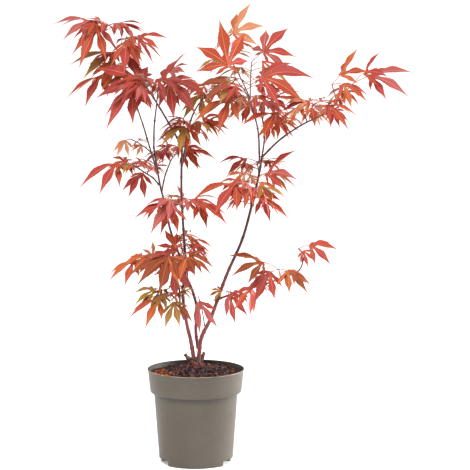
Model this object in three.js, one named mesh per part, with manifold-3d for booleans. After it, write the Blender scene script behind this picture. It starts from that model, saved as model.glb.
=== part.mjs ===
// Potted Japanese maple: a young garden plant, about 0.72 m tall with the round nursery pot it stands in.
// Millimetres, +Z up. The origin is the middle of the pot's flat underside, and the front is towards -Y.
import * as THREE from 'three';
import { mergeVertices } from 'three/addons/utils/BufferGeometryUtils.js';
import Module from 'manifold-3d';

const wasm = await Module();
wasm.setup();

// Clear gap between two pieces that touch on the real plant
const SEAT = 0.3;

// Pot: a tapering wall under a wider collar, with a foot that is cut away at both sides
const POT = {
  height: 149,
  rimRadius: 76.5,
  lipHeight: 2.5,
  lipInset: 0.8,
  collarHeight: 36.7,
  collarRadius: 72.2,
  stepHeight: 2.4,
  stepInset: 1,
  neckRadius: 66.2,
  footRadius: 57.8,
  wall: 1.8,
  floorRadius: 44,
  floorThickness: 2.4,
  channelHeight: 8,
  sides: 32,
  drainHoles: 6,
  drainRadius: 3.5,
  drainCircle: 49.5,
  drainSides: 8,
  notchAngle: 84,
  studCircle: 50.6,
  studRadius: 4.2,
  studSides: 12,
};
// How far a cutting shape runs past what it cuts
const CUT_PAST = 5;

// Compost: filled almost to the rim and heaped up to a small level patch under the stems
const SOIL = {
  level: 150,
  patchRadius: 21,
  shoulderRadius: 46,
  shoulderLevel: 145.5,
  edgeLevel: 142,
  sides: 20,
  facetRoom: 0.3,
  edgeRoom: 0.5,
};

// Root crown: the swollen foot of the stems, with the cut stubs of older shoots
const CROWN = {
  height: 16,
  topRadius: 8.6,
  waistRadius: 9.4,
  waistHeight: 6.4,
  flareRadius: 12,
  sides: 10,
  roots: 6,
  firstRoot: 0.35,
  rootReach: 16.5,
  rootStart: [4.3, 8.8],
  rootRadius: [4.7, 1.8],
  stubs: [
    { foot: [-6, 0, 7], tip: [-17, 2, 21], radius: [4.2, 3] },
    { foot: [7, 1, 7], tip: [13, 3, 24], radius: [3.8, 2.9] },
    { foot: [-8, -6, 7], tip: [-13, -10, 19], radius: [2.6, 2] },
  ],
};

// A limb loses most of its girth near its foot: the power of its taper
const TAPER = 1.3;
// Faces round a limb, with more of them on those that are thick at the foot
const LIMB_SIDES = { thick: 8, thin: 5, thickFrom: 2, ringsPerBend: 2 };

// Stems and boughs. Each grows from a place on an older limb: `at` runs from 0 at its foot to 1 at its tip.
// `radius` is at the foot and the tip, and `path` lists the bends that follow.
const LIMBS = [
  {
    name: 'stem_middle', start: [-3.4, -3, 167.2], radius: [3.4, 1.7],
    path: [[-8, -5, 195], [-15, -6, 227], [-20, -4, 271], [-15, 0, 309], [-18, 4, 353], [-22, 8, 431],
      [-21, 10, 498]],
  },
  {
    name: 'stem_right', start: [4.8, -3, 167.2], radius: [3.6, 1.8],
    path: [[9, -6, 199], [24, -10, 231], [40, -10, 276], [52, -8, 307], [74, -4, 357], [90, 0, 416],
      [98, 4, 450], [104, 6, 482]],
  },
  {
    name: 'stem_left', from: 'stem_right', at: 0.06, radius: [2.9, 1.5],
    path: [[0, 8, 209], [2, 10, 241], [-4, 13, 267], [-15, 16, 294], [-25, 18, 324], [-40, 18, 367],
      [-48, 16, 407], [-56, 14, 440], [-65, 12, 497]],
  },
  {
    name: 'stem_thin', from: 'stem_middle', at: 0.3, radius: [1.8, 1.3],
    path: [[-24, -12, 247], [-25, -16, 276], [-30, -20, 302], [-36, -22, 322]],
  },
  {
    name: 'bough_left_top', from: 'stem_middle', at: 1, radius: [1.7, 1.1],
    path: [[-38, 6, 530], [-58, 0, 565], [-85, -6, 607], [-119, -10, 649], [-140, -12, 675]],
  },
  {
    name: 'bough_centre_top', from: 'stem_middle', at: 0.965, radius: [1.5, 1.1],
    path: [[-9, 20, 534], [4, 26, 563], [23, 30, 583]],
  },
  {
    name: 'bough_left_side', from: 'stem_left', at: 0.89, radius: [1.4, 1.1],
    path: [[-66, 6, 450], [-77, 0, 458], [-88, -5, 466]],
  },
  {
    name: 'bough_left_inner', from: 'stem_left', at: 0.95, radius: [1.4, 1.1],
    path: [[-74, 2, 508], [-81, -6, 534], [-94, -16, 574]],
  },
  {
    name: 'bough_left_upper', from: 'stem_left', at: 1, radius: [1.4, 1.1],
    path: [[-64, 4, 532], [-60, -6, 564]],
  },
  {
    name: 'bough_left_back', from: 'stem_left', at: 0.86, radius: [1.4, 1.1],
    path: [[-48, 38, 452], [-40, 70, 472]],
  },
  {
    name: 'bough_right_upper', from: 'stem_right', at: 0.97, radius: [1.6, 1.1],
    path: [[98, -6, 522], [91, -12, 553], [83, -16, 581]],
  },
  {
    name: 'bough_right_top', from: 'stem_right', at: 1, radius: [1.7, 1.1],
    path: [[132, 8, 510], [166, 10, 533], [199, 8, 549], [221, 4, 561]],
  },
  {
    name: 'bough_right_low', from: 'stem_right', at: 0.34, radius: [1.8, 1.1],
    path: [[70, -24, 276], [104, -34, 287], [139, -42, 301], [161, -46, 312], [169, -48, 334]],
  },
  {
    name: 'bough_rear_high', from: 'stem_right', at: 0.95, radius: [1.5, 1.1],
    path: [[108, 36, 508], [106, 70, 534], [102, 98, 552]],
  },
  {
    name: 'bough_rear_low', from: 'stem_left', at: 0.52, radius: [1.5, 1.1],
    path: [[-28, 50, 320], [-33, 82, 314]],
  },
];

// Autumn tints. Each mass takes one of them for all its leaves.
const TINTS = {
  crimson: '#b23a30',
  red: '#bd4a2e',
  pink: '#b8564a',
  orange: '#cd6330',
  peach: '#cc8560',
  maroon: '#7e3428',
  rust: '#a54a1e',
  olive: '#98763c',
  green: '#96761f',
};

// Masses of foliage. Each is one shoot from a limb, at the place `at`, out to its first leaf, whose heart
// is at `heart`. `leads` gives the leaves at the shoot's end as [heading, rise, lean, length]: the compass
// heading of the middle lobe, its rise above level, how far the blade leans to the front, all in degrees,
// and the lobe's length. `more` leaves then follow down the shoot by the seeded rule.
const MASSES = [
  {
    name: 'leaves_left_top_tip', from: 'bough_left_top', at: 1, tint: 'crimson',
    heart: [-160, -24, 697], more: 2,
    leads: [[186, -8, 22, 64], [205, -30, 18, 68]],
  },
  {
    name: 'leaves_left_top_upper', from: 'bough_left_top', at: 0.82, tint: 'red',
    heart: [-107, -38, 670], more: 2,
    leads: [[-100, -25, 0, 56], [5, -5, 30, 45]],
  },
  {
    name: 'leaves_left_top_low', from: 'bough_left_top', at: 0.76, tint: 'crimson',
    heart: [-128, 14, 646], more: 1,
    leads: [[190, -14, 20, 74]],
  },
  {
    name: 'leaves_left_top_dark', from: 'bough_left_top', at: 0.6, tint: 'maroon',
    heart: [-89, -55, 609], more: 2,
    leads: [[165, 14, 55, 78], [20, 35, 30, 46]],
  },
  {
    name: 'leaves_left_top_orange', from: 'bough_left_top', at: 0.68, tint: 'orange',
    heart: [-148, 52, 609], more: 1,
    leads: [[200, -32, 8, 68]],
  },
  {
    name: 'leaves_left_top_back', from: 'bough_left_top', at: 0.45, tint: 'olive',
    heart: [-72, 62, 591], more: 2,
    leads: [[95, -5, 0, 62]],
  },
  {
    name: 'leaves_left_middle_top', from: 'bough_left_upper', at: 1, tint: 'pink',
    heart: [-37, -38, 606], more: 1,
    leads: [[-50, -38, 45, 72], [10, 22, 15, 55]],
  },
  {
    name: 'leaves_left_inner', from: 'bough_left_inner', at: 1, tint: 'crimson',
    heart: [-96, -36, 596], more: 1,
    leads: [[225, -45, 20, 74], [-60, -20, 20, 48]],
  },
  {
    name: 'leaves_centre_top', from: 'bough_centre_top', at: 1, tint: 'red',
    heart: [12, 36, 580], more: 2,
    leads: [[200, -62, 35, 52], [70, 5, 0, 60]],
  },
  {
    name: 'leaves_crown_left', from: 'bough_right_upper', at: 0.9, tint: 'crimson',
    heart: [51, -48, 629], more: 1,
    leads: [[180, 74, 72, 78]],
  },
  {
    name: 'leaves_crown_top', from: 'bough_right_upper', at: 1, tint: 'peach',
    heart: [59, 0, 676], more: 2,
    leads: [[8, 50, 32, 66]],
  },
  {
    name: 'leaves_crown_middle', from: 'bough_right_upper', at: 0.95, tint: 'crimson',
    heart: [106, 12, 646], more: 2,
    leads: [[18, 32, 45, 62]],
  },
  {
    name: 'leaves_crown_right', from: 'bough_right_upper', at: 0.78, tint: 'crimson',
    heart: [103, -62, 611], more: 2,
    leads: [[-6, 0, 45, 86], [182, 0, 40, 66]],
  },
  {
    name: 'leaves_crown_low', from: 'bough_right_upper', at: 0.84, tint: 'olive',
    heart: [54, -38, 577], more: 2,
    leads: [[208, -30, 20, 66]],
  },
  {
    name: 'leaves_right_top_inner', from: 'bough_right_top', at: 0.5, tint: 'red',
    heart: [121, -20, 561], more: 0,
    leads: [[192, 2, 12, 78]],
  },
  {
    name: 'leaves_right_top_pale', from: 'bough_right_top', at: 0.56, tint: 'peach',
    heart: [178, 62, 556], more: 2,
    leads: [[-60, -8, 10, 54]],
  },
  {
    name: 'leaves_right_top_tip', from: 'bough_right_top', at: 1, tint: 'orange',
    heart: [226, -12, 612], more: 1,
    leads: [[15, 45, 20, 52], [-10, -5, 30, 52]],
  },
  {
    name: 'leaves_right_top_far', from: 'bough_right_top', at: 0.93, tint: 'crimson',
    heart: [273, 8, 609], more: 1,
    leads: [[0, 2, 30, 76], [8, 30, 35, 62]],
  },
  {
    name: 'leaves_right_top_low', from: 'bough_right_top', at: 0.78, tint: 'orange',
    heart: [204, -60, 573], more: 2,
    leads: [[-5, -2, 20, 55]],
  },
  {
    name: 'leaves_centre_middle', from: 'bough_centre_top', at: 0.3, tint: 'red',
    heart: [-20, -12, 534], more: 2,
    leads: [[205, -30, 20, 56], [15, 5, 20, 46]],
  },
  {
    name: 'leaves_left_side_tip', from: 'bough_left_side', at: 1, tint: 'red',
    heart: [-121, -22, 476], more: 2,
    leads: [[206, -26, 20, 64], [170, 10, 30, 40]],
  },
  {
    name: 'leaves_left_side_middle', from: 'bough_left_side', at: 0.6, tint: 'crimson',
    heart: [-86, 42, 454], more: 2,
    leads: [[225, -55, 20, 44]],
  },
  {
    name: 'leaves_left_twig', from: 'stem_left', at: 0.98, tint: 'peach',
    heart: [-109, -8, 510], more: 1,
    leads: [[230, -60, 20, 30]],
  },
  {
    name: 'leaves_left_back', from: 'bough_left_back', at: 1, tint: 'crimson',
    heart: [-22, 106, 492], more: 2,
    leads: [[75, -5, 0, 60], [150, -15, 0, 56]],
  },
  {
    name: 'leaves_middle_left', from: 'stem_left', at: 0.76, tint: 'crimson',
    heart: [-36, -60, 418], more: 2,
    leads: [[202, -20, 20, 66], [10, 10, 20, 28]],
  },
  {
    name: 'leaves_middle_centre', from: 'stem_middle', at: 0.8, tint: 'red',
    heart: [6, 52, 407], more: 1,
    leads: [[-30, -30, 20, 52], [-120, 0, 10, 40]],
  },
  {
    name: 'leaves_middle_front', from: 'stem_right', at: 0.76, tint: 'crimson',
    heart: [63, -82, 450], more: 2,
    leads: [[200, -16, 20, 68], [235, -50, 30, 34]],
  },
  {
    name: 'leaves_middle_right', from: 'stem_right', at: 0.9, tint: 'red',
    heart: [79, 45, 477], more: 2,
    leads: [[185, -10, 20, 46]],
  },
  {
    name: 'leaves_right_side_upper', from: 'stem_right', at: 0.87, tint: 'peach',
    heart: [110, -22, 460], more: 2,
    leads: [[0, 24, 20, 70], [-40, -30, 30, 42]],
  },
  {
    name: 'leaves_right_side_low', from: 'stem_right', at: 0.72, tint: 'crimson',
    heart: [104, 45, 414], more: 2,
    leads: [[-20, -36, 20, 48]],
  },
  {
    name: 'leaves_rear_high', from: 'bough_rear_high', at: 1, tint: 'crimson',
    heart: [100, 128, 566], more: 2,
    leads: [[95, -10, 0, 66], [20, 5, 0, 58], [165, 0, 0, 60]],
  },
  {
    name: 'leaves_rear_high_side', from: 'bough_rear_high', at: 0.6, tint: 'orange',
    heart: [146, 74, 541], more: 2,
    leads: [[25, 10, 0, 58]],
  },
  {
    name: 'leaves_rear_low', from: 'bough_rear_low', at: 1, tint: 'red',
    heart: [-42, 112, 304], more: 2,
    leads: [[85, -10, 0, 62], [165, -5, 0, 56]],
  },
  {
    name: 'leaves_low_left', from: 'stem_thin', at: 1, tint: 'maroon',
    heart: [-41, -58, 334], more: 2,
    leads: [[216, -34, 30, 68], [-70, -25, 10, 50], [150, 42, 40, 42], [238, -74, 55, 62]],
  },
  {
    name: 'leaves_low_left_far', from: 'stem_thin', at: 0.86, tint: 'orange',
    heart: [-96, -6, 321], more: 2,
    leads: [[208, -32, 20, 50], [110, -5, 0, 40]],
  },
  {
    name: 'leaves_low_left_under', from: 'stem_thin', at: 0.45, tint: 'green',
    heart: [-57, -30, 264], more: 2,
    leads: [[206, -28, 20, 54], [-75, -50, 20, 44]],
  },
  {
    name: 'leaves_low_middle', from: 'stem_middle', at: 0.6, tint: 'rust',
    heart: [-8, 10, 350], more: 2,
    leads: [[-20, -36, 20, 44], [80, 0, 0, 48]],
  },
  {
    name: 'leaves_low_hanging', from: 'stem_right', at: 0.2, tint: 'pink',
    heart: [6, -24, 258], more: 0,
    leads: [[-85, -78, 55, 54]],
  },
  {
    name: 'leaves_low_right_tip', from: 'bough_right_low', at: 1, tint: 'crimson',
    heart: [178, -52, 352], more: 0,
    leads: [[-14, -8, 35, 50], [-60, -60, 60, 26]],
  },
  {
    name: 'leaves_low_right_middle', from: 'bough_right_low', at: 0.56, tint: 'rust',
    heart: [105, -64, 327], more: 0,
    leads: [[174, 4, 20, 66], [-38, -44, 25, 44], [226, -42, 45, 54]],
  },
  {
    name: 'leaves_low_right_under', from: 'bough_right_low', at: 0.3, tint: 'crimson',
    heart: [87, -48, 285], more: 0,
    leads: [[-100, -72, 62, 50], [60, 0, 0, 50]],
  },
  {
    name: 'leaves_low_right_foot', from: 'bough_right_low', at: 0.12, tint: 'crimson',
    heart: [54, -34, 271], more: 0,
    leads: [[-70, -70, 60, 42], [215, -68, 60, 30]],
  },
];

// Leaf: seven lobes from left to right, each with its turn from the middle lobe and its size beside it
const LOBES = [
  { turn: 118, size: 0.32 },
  { turn: 78, size: 0.64 },
  { turn: 39, size: 0.9 },
  { turn: 0, size: 1 },
  { turn: -39, size: 0.9 },
  { turn: -78, size: 0.64 },
  { turn: -118, size: 0.32 },
];
// The blade's proportions to its longest lobe. A leaf of `fullSize` or more has all seven lobes,
// and a lobe shorter than `plainLobe` has no widest place.
const LEAF = {
  halfWidth: 0.14,
  widest: 0.55,
  valley: 0.19,
  backEdge: 0.07,
  heartThickness: 1.8,
  ribThickness: 1.2,
  droop: 0.4,
  fold: 0.42,
  petiole: 0.4,
  fullSize: 60,
  plainLobe: 30,
};
// Shoots and petioles arch upwards: `arch` is the height of the bend, as a share of the length
const TWIG = { radius: [1.1, 0.85], sides: 3, steps: 4, arch: 0.1, bendAt: 0.5 };
const PETIOLE = {
  radius: [0.8, 0.65],
  steps: 2,
  arch: 0.12,
  bendAt: 0.55,
  intoBlade: 2,
  corners: [90, 210, 330],
};
// The rise of a petiole follows that of its leaf, more gently
const PETIOLE_RISE = { share: 0.5, more: 22, least: -35, most: 60 };

// The seeded rule: how far its draws spread, in degrees or as [least, spread] of a share, and how each
// further try at a leaf wanders and shrinks
const DRAW = {
  lobeTurn: 7,
  lobeLength: [0.92, 0.16],
  droop: [0.7, 0.6],
  stalk: [0.85, 0.4],
  pairTurn: 40,
  pairRise: 30,
  pairLean: 30,
  pairSize: [0.62, 0.3],
  tries: 28,
  wander: 5,
  shrink: 0.01,
};
// Where pairs of leaves stand on a shoot, and the quarter turn from each pair to the next
const PAIRS = { first: 0.7, spacing: 0.3, turn: 90 };

// Room kept clear around leaves and twigs, and the most that a leaf may be from its shoot's end
const ROOM = {
  leaf: 6,
  stalk: 4,
  ownLeaf: 2.5,
  limb: 2.6,
  reach: 128,
  sampleStep: 6,
  curveStep: 3.6,
  cell: 9,
  across: [0, 0.5, -0.5, 1, -1],
  slim: 2.5,
};

const UP = new THREE.Vector3(0, 0, 1);
// A direction that no limb follows, for laying the first ring of each square to its curve
const ASKEW = new THREE.Vector3(0.3, 1, 0.2);
const vector = (p) => new THREE.Vector3(...p);
const degrees = (angle) => THREE.MathUtils.degToRad(angle);

// Solids

function solidOf(geometry) {
  const bare = geometry.clone();
  bare.deleteAttribute('normal');
  bare.deleteAttribute('uv');
  const merged = mergeVertices(bare, 1e-4);
  const mesh = new wasm.Mesh({
    numProp: 3,
    vertProperties: merged.attributes.position.array,
    triVerts: new Uint32Array(merged.index.array),
  });
  return new wasm.Manifold(mesh);
}

function geometryOf(solid) {
  const mesh = solid.getMesh();
  const geometry = new THREE.BufferGeometry();
  geometry.setAttribute('position', new THREE.BufferAttribute(mesh.vertProperties, 3));
  geometry.setIndex(new THREE.BufferAttribute(mesh.triVerts, 1));
  geometry.computeVertexNormals();
  return geometry;
}

// Joins the pieces, keeps the largest body and drops loose scraps
function fused(geometries) {
  const whole = geometries.map(solidOf).reduce((sum, solid) => sum.add(solid));
  return whole.decompose().reduce((best, body) => (body.volume() > best.volume() ? body : best));
}

function named(name, geometry, colour, roughness) {
  const material = new THREE.MeshStandardMaterial({ color: colour, roughness, metalness: 0 });
  const mesh = new THREE.Mesh(geometry, material);
  mesh.name = name;
  return mesh;
}

function turned(outline, sides) {
  const profile = outline.map(([radius, height]) => new THREE.Vector2(radius, height));
  return new THREE.LatheGeometry(profile, sides).rotateX(Math.PI / 2);
}

// Pot and compost

function wallRadius(height) {
  return THREE.MathUtils.mapLinear(height, 0, POT.height - POT.collarHeight, POT.footRadius, POT.neckRadius);
}

function potMesh() {
  const neck = POT.height - POT.collarHeight;
  const channelTop = POT.channelHeight + POT.floorThickness;
  const outline = [
    [0, 0],
    [POT.floorRadius, 0],
    [POT.floorRadius + POT.wall, POT.channelHeight],
    [wallRadius(POT.channelHeight) - POT.wall, POT.channelHeight],
    [POT.footRadius - POT.wall, 0],
    [POT.footRadius, 0],
    [POT.neckRadius, neck],
    [POT.collarRadius - POT.stepInset, neck],
    [POT.collarRadius, neck + POT.stepHeight],
    [POT.rimRadius - POT.lipInset, POT.height - POT.lipHeight],
    [POT.rimRadius, POT.height],
    [POT.rimRadius - POT.wall, POT.height],
    [POT.collarRadius - POT.wall, neck + POT.stepHeight + POT.wall],
    [POT.neckRadius - POT.wall, neck + POT.stepHeight],
    [wallRadius(channelTop) - POT.wall, channelTop],
    [POT.floorRadius, channelTop],
    [POT.floorRadius - POT.wall, POT.floorThickness],
    [0, POT.floorThickness],
  ];
  let pot = solidOf(turned(outline, POT.sides));
  for (const side of [0, Math.PI]) {
    pot = pot.subtract(solidOf(footNotch(side))).add(solidOf(footStud(side)));
  }
  for (let i = 0; i < POT.drainHoles; i++) {
    const centre = direction(((i + 0.5) / POT.drainHoles) * 360, 0).multiplyScalar(POT.drainCircle);
    const depth = channelTop + CUT_PAST * 2;
    const hole = new THREE.CylinderGeometry(POT.drainRadius, POT.drainRadius, depth, POT.drainSides);
    hole.rotateX(Math.PI / 2).translate(centre.x, centre.y, channelTop / 2);
    pot = pot.subtract(solidOf(hole));
  }
  return named('pot', geometryOf(pot), '#8a8074', 0.55);
}

// The part of the foot ring that is cut away at one side, as a wedge of a ring
function footNotch(middle) {
  const half = degrees(POT.notchAngle / 2);
  const inner = POT.floorRadius + POT.wall * 1.5;
  const shape = new THREE.Shape();
  shape.absarc(0, 0, POT.rimRadius, middle - half, middle + half, false);
  shape.absarc(0, 0, inner, middle + half, middle - half, true);
  const depth = POT.channelHeight + CUT_PAST;
  const wedge = new THREE.ExtrudeGeometry(shape, { depth, bevelEnabled: false, curveSegments: 8 });
  return wedge.translate(0, 0, -CUT_PAST);
}

// The stud that stands in the middle of the cut-away part, under the channel
function footStud(middle) {
  const height = POT.channelHeight + POT.floorThickness / 2;
  const stud = new THREE.CylinderGeometry(POT.studRadius, POT.studRadius, height, POT.studSides);
  const [x, y] = [Math.cos(middle) * POT.studCircle, Math.sin(middle) * POT.studCircle];
  return stud.rotateX(Math.PI / 2).translate(x, y, height / 2);
}

// The compost fills the pot, and lies a little inside its flat facets
function soilMesh() {
  const channelTop = POT.channelHeight + POT.floorThickness + SEAT;
  const neck = POT.height - POT.collarHeight + POT.stepHeight;
  const inside = POT.wall + SEAT + SOIL.facetRoom;
  const slope = (POT.rimRadius - POT.collarRadius) / (POT.collarHeight - POT.stepHeight);
  const edge = POT.collarRadius - inside + slope * (SOIL.edgeLevel - neck);
  const outline = [
    [0, POT.floorThickness + SEAT],
    [POT.floorRadius - inside, POT.floorThickness + SEAT],
    [POT.floorRadius - SEAT, channelTop],
    [wallRadius(channelTop) - inside, channelTop],
    [POT.neckRadius - inside, neck],
    [POT.collarRadius - inside - SOIL.facetRoom, neck + POT.wall + SEAT],
    [edge - SOIL.edgeRoom, SOIL.edgeLevel],
    [SOIL.shoulderRadius, SOIL.shoulderLevel],
    [SOIL.patchRadius, SOIL.level],
    [0, SOIL.level],
  ];
  return named('soil', geometryOf(solidOf(turned(outline, SOIL.sides))), '#3b2a20', 0.95);
}

// Limbs

// Lays a round, tapering limb along a curve
function limbGeometry(curve, radiusAt, sides, steps) {
  const geometry = new THREE.CylinderGeometry(1, 1, 1, sides, steps);
  const rings = [];
  let across = ASKEW;
  for (let step = 0; step <= steps; step++) {
    const along = curve.getTangent(step / steps);
    across = across.clone().addScaledVector(along, -across.dot(along)).normalize();
    const other = across.clone().cross(along);
    rings.push({ centre: curve.getPoint(step / steps), across, other, radius: radiusAt(step / steps) });
  }
  const position = geometry.attributes.position;
  for (let i = 0; i < position.count; i++) {
    const ring = rings[Math.round((position.getY(i) + 0.5) * steps)];
    const point = ring.centre.clone();
    point.addScaledVector(ring.across, position.getX(i) * ring.radius);
    point.addScaledVector(ring.other, position.getZ(i) * ring.radius);
    position.setXYZ(i, point.x, point.y, point.z);
  }
  return geometry;
}

const taper = ([foot, tip]) => (t) => tip + (foot - tip) * (1 - t) ** TAPER;

// Where a shoot leaves a limb for the point `towards`: off the end of its tip, or off its side
function rootOn(limb, at, towards, radius) {
  const place = limb.curve.getPoint(at);
  const along = limb.curve.getTangent(at);
  const out = towards.clone().sub(place).normalize();
  const leaning = out.dot(along);
  if (at === 1) return place.addScaledVector(along, SEAT + radius * Math.sqrt(1 - leaning ** 2));
  const aside = out.clone().addScaledVector(along, -leaning).normalize();
  return place.addScaledVector(aside, limb.radiusAt(at) + SEAT + radius * Math.abs(leaning));
}

function growLimbs() {
  const limbs = {};
  for (const { name, start, from, at, radius, path } of LIMBS) {
    const bends = path.map(vector);
    const root = start ? vector(start) : rootOn(limbs[from], at, bends[0], radius[0]);
    const curve = new THREE.CatmullRomCurve3([root, ...bends], false, 'catmullrom', 0.5);
    limbs[name] = { curve, radiusAt: taper(radius), bends: bends.length };
  }
  return limbs;
}

function crownMesh() {
  const foot = SOIL.level + SEAT;
  const outline = [
    [0, 0],
    [CROWN.flareRadius, 0],
    [CROWN.waistRadius, CROWN.waistHeight],
    [CROWN.topRadius, CROWN.height],
    [0, CROWN.height],
  ];
  const pieces = [turned(outline, CROWN.sides)];
  for (const { foot: low, tip, radius } of CROWN.stubs) {
    pieces.push(limbGeometry(new THREE.LineCurve3(vector(low), vector(tip)), taper(radius), 6, 1));
  }
  for (let i = 0; i < CROWN.roots; i++) {
    const out = direction(((i + CROWN.firstRoot) / CROWN.roots) * 360, 0);
    const high = out.clone().multiplyScalar(CROWN.rootStart[0]).addScaledVector(UP, CROWN.rootStart[1]);
    const low = out.clone().multiplyScalar(CROWN.rootReach);
    pieces.push(limbGeometry(new THREE.LineCurve3(high, low), taper(CROWN.rootRadius), 5, 1));
  }
  const width = CROWN.rootReach * 4;
  const ground = new THREE.BoxGeometry(width, width, CROWN.height).translate(0, 0, -CROWN.height / 2);
  const crown = fused(pieces).subtract(solidOf(ground));
  return named('root_crown', geometryOf(crown).translate(0, 0, foot), '#6b3b33', 0.8);
}

// Leaves

// Random numbers between 0 and 1, the same ones for the same seed
function seeded(seed) {
  let state = (seed * 7919 + 104729) % 2147483647;
  return () => {
    state = (state * 48271) % 2147483647;
    return state / 2147483647;
  };
}

// A number between `least` and `least + spread`
const share = ([least, spread], random) => least + spread * random();

function direction(heading, rise) {
  const [around, up] = [degrees(heading), degrees(rise)];
  return new THREE.Vector3(Math.cos(up) * Math.cos(around), Math.cos(up) * Math.sin(around), Math.sin(up));
}

// The blade's own axes: ahead along the middle lobe, face out of its upper side, and side to the left
function bladeAxes(heading, rise, lean) {
  const ahead = direction(heading, rise);
  const level = new THREE.Vector3(-Math.sin(degrees(heading)), Math.cos(degrees(heading)), 0);
  const face = direction(heading, rise + 90).multiplyScalar(Math.cos(degrees(lean)));
  face.addScaledVector(level, (level.y > 0 ? -1 : 1) * Math.sin(degrees(lean)));
  return { ahead, face, side: face.clone().cross(ahead) };
}

// Two directions square to a stalk: to its left, and out of its upper side
function squareTo(along, face) {
  const side = face.clone().cross(along).normalize();
  return { side, face: along.clone().cross(side) };
}

// A leaf's lobes with their own small differences, small leaves having five
function drawLobes(leaf, random) {
  const chosen = leaf.length < LEAF.fullSize ? LOBES.slice(1, -1) : LOBES;
  return chosen.map(({ turn, size }) => {
    const angle = degrees(turn + (random() - 0.5) * DRAW.lobeTurn);
    const length = leaf.length * size * share(DRAW.lobeLength, random);
    const [cosine, sine] = [Math.cos(angle), Math.sin(angle)];
    const out = leaf.ahead.clone().multiplyScalar(cosine).addScaledVector(leaf.side, sine);
    out.addScaledVector(leaf.face, -LEAF.fold * Math.abs(sine)).normalize();
    const across = leaf.side.clone().multiplyScalar(cosine).addScaledVector(leaf.ahead, -sine);
    return { length, out, across };
  });
}

// A point at the distance `reach` from the heart, after the blade has sagged under its own weight.
// A lobe that points straight up or down doesn't sag.
function sagged(leaf, out, reach) {
  const sag = (leaf.droop * (1 - out.z * out.z) * reach * reach) / leaf.length;
  return leaf.heart.clone().addScaledVector(out, reach).addScaledVector(UP, -sag);
}

function lobeEdge(leaf, lobe, along, aside) {
  return sagged(leaf, lobe.out, lobe.length * along).addScaledVector(lobe.across, lobe.length * aside);
}

// A leaf as one closed skin: the blade, and its three-sided petiole, whose foot goes into the shoot
function leafGeometry(leaf) {
  const points = [];
  const add = (point) => points.push(point) - 1;
  const lift = (point, by) => point.clone().addScaledVector(leaf.face, by);
  const heartTop = add(lift(leaf.heart, LEAF.heartThickness / 2));
  const heartBottom = add(lift(leaf.heart, -LEAF.heartThickness / 2));
  const back = leaf.heart.clone().addScaledVector(leaf.ahead, -LEAF.backEdge * leaf.length);
  const backLeft = add(back.clone().addScaledVector(leaf.side, PETIOLE.radius[1]));
  const backRight = add(back.clone().addScaledVector(leaf.side, -PETIOLE.radius[1]));
  const triangles = [];
  let left = backLeft;
  leaf.lobes.forEach((lobe, i) => {
    const next = leaf.lobes[i + 1];
    let right = backRight;
    if (next) {
      const between = lobe.out.clone().add(next.out).normalize();
      right = add(sagged(leaf, between, LEAF.valley * Math.min(lobe.length, next.length)));
    }
    const rib = lobeEdge(leaf, lobe, LEAF.widest, 0);
    const ribTop = add(lift(rib, LEAF.ribThickness / 2));
    const ribBottom = add(lift(rib, -LEAF.ribThickness / 2));
    const tip = add(lobeEdge(leaf, lobe, 1, 0));
    const rim = [right, tip, left];
    if (lobe.length > LEAF.plainLobe) {
      rim.splice(1, 0, add(lobeEdge(leaf, lobe, LEAF.widest, -LEAF.halfWidth)));
      rim.splice(3, 0, add(lobeEdge(leaf, lobe, LEAF.widest, LEAF.halfWidth)));
    }
    const upper = [heartTop, ...rim, heartTop];
    const lower = [heartBottom, ...rim, heartBottom];
    for (let k = 0; k < upper.length - 1; k++) {
      triangles.push(upper[k], upper[k + 1], ribTop);
      triangles.push(lower[k + 1], lower[k], ribBottom);
    }
    left = right;
  });
  const rings = [];
  for (let step = 0; step < PETIOLE.steps; step++) {
    const t = step / PETIOLE.steps;
    const centre = leaf.petiole.getPoint(t);
    const { side, face } = squareTo(leaf.petiole.getTangent(t), leaf.face);
    const radius = taper(PETIOLE.radius)(t);
    rings.push(PETIOLE.corners.map((angle) => {
      const point = centre.clone().addScaledVector(side, -radius * Math.cos(degrees(angle)));
      return add(point.addScaledVector(face, radius * Math.sin(degrees(angle))));
    }));
  }
  triangles.push(...rings[0]);
  for (let step = 1; step < rings.length; step++) {
    for (const [a, b] of [[0, 1], [1, 2], [2, 0]]) {
      const [low, high] = [rings[step - 1], rings[step]];
      triangles.push(low[a], high[b], low[b], low[a], high[a], high[b]);
    }
  }
  const [top, atLeft, atRight] = rings.at(-1);
  triangles.push(top, heartTop, backLeft, atLeft, top, backLeft);
  triangles.push(atLeft, backLeft, heartBottom, atRight, atLeft, heartBottom);
  triangles.push(atRight, heartBottom, backRight, top, atRight, backRight, top, backRight, heartTop);
  const geometry = new THREE.BufferGeometry().setFromPoints(points);
  return geometry.setIndex(triangles);
}

// Half the width of a lobe's kite at a share of its length
function halfWidthAt(along) {
  return LEAF.halfWidth * Math.min(along / LEAF.widest, (1 - along) / (1 - LEAF.widest));
}

// Points over the blade, close enough together to show what it would touch
function bladePoints(leaf) {
  const points = [leaf.heart];
  for (const lobe of leaf.lobes) {
    const count = Math.ceil(lobe.length / ROOM.sampleStep);
    for (let i = 1; i <= count; i++) {
      const along = i / count;
      const half = halfWidthAt(along);
      for (const aside of half * lobe.length > ROOM.slim ? ROOM.across : [0]) {
        points.push(lobeEdge(leaf, lobe, along, aside * half));
      }
    }
  }
  return points;
}

function curvePoints(curve) {
  const count = Math.ceil(curve.getLength() / ROOM.curveStep);
  return Array.from({ length: count + 1 }, (_, i) => curve.getPoint(i / count));
}

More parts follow.
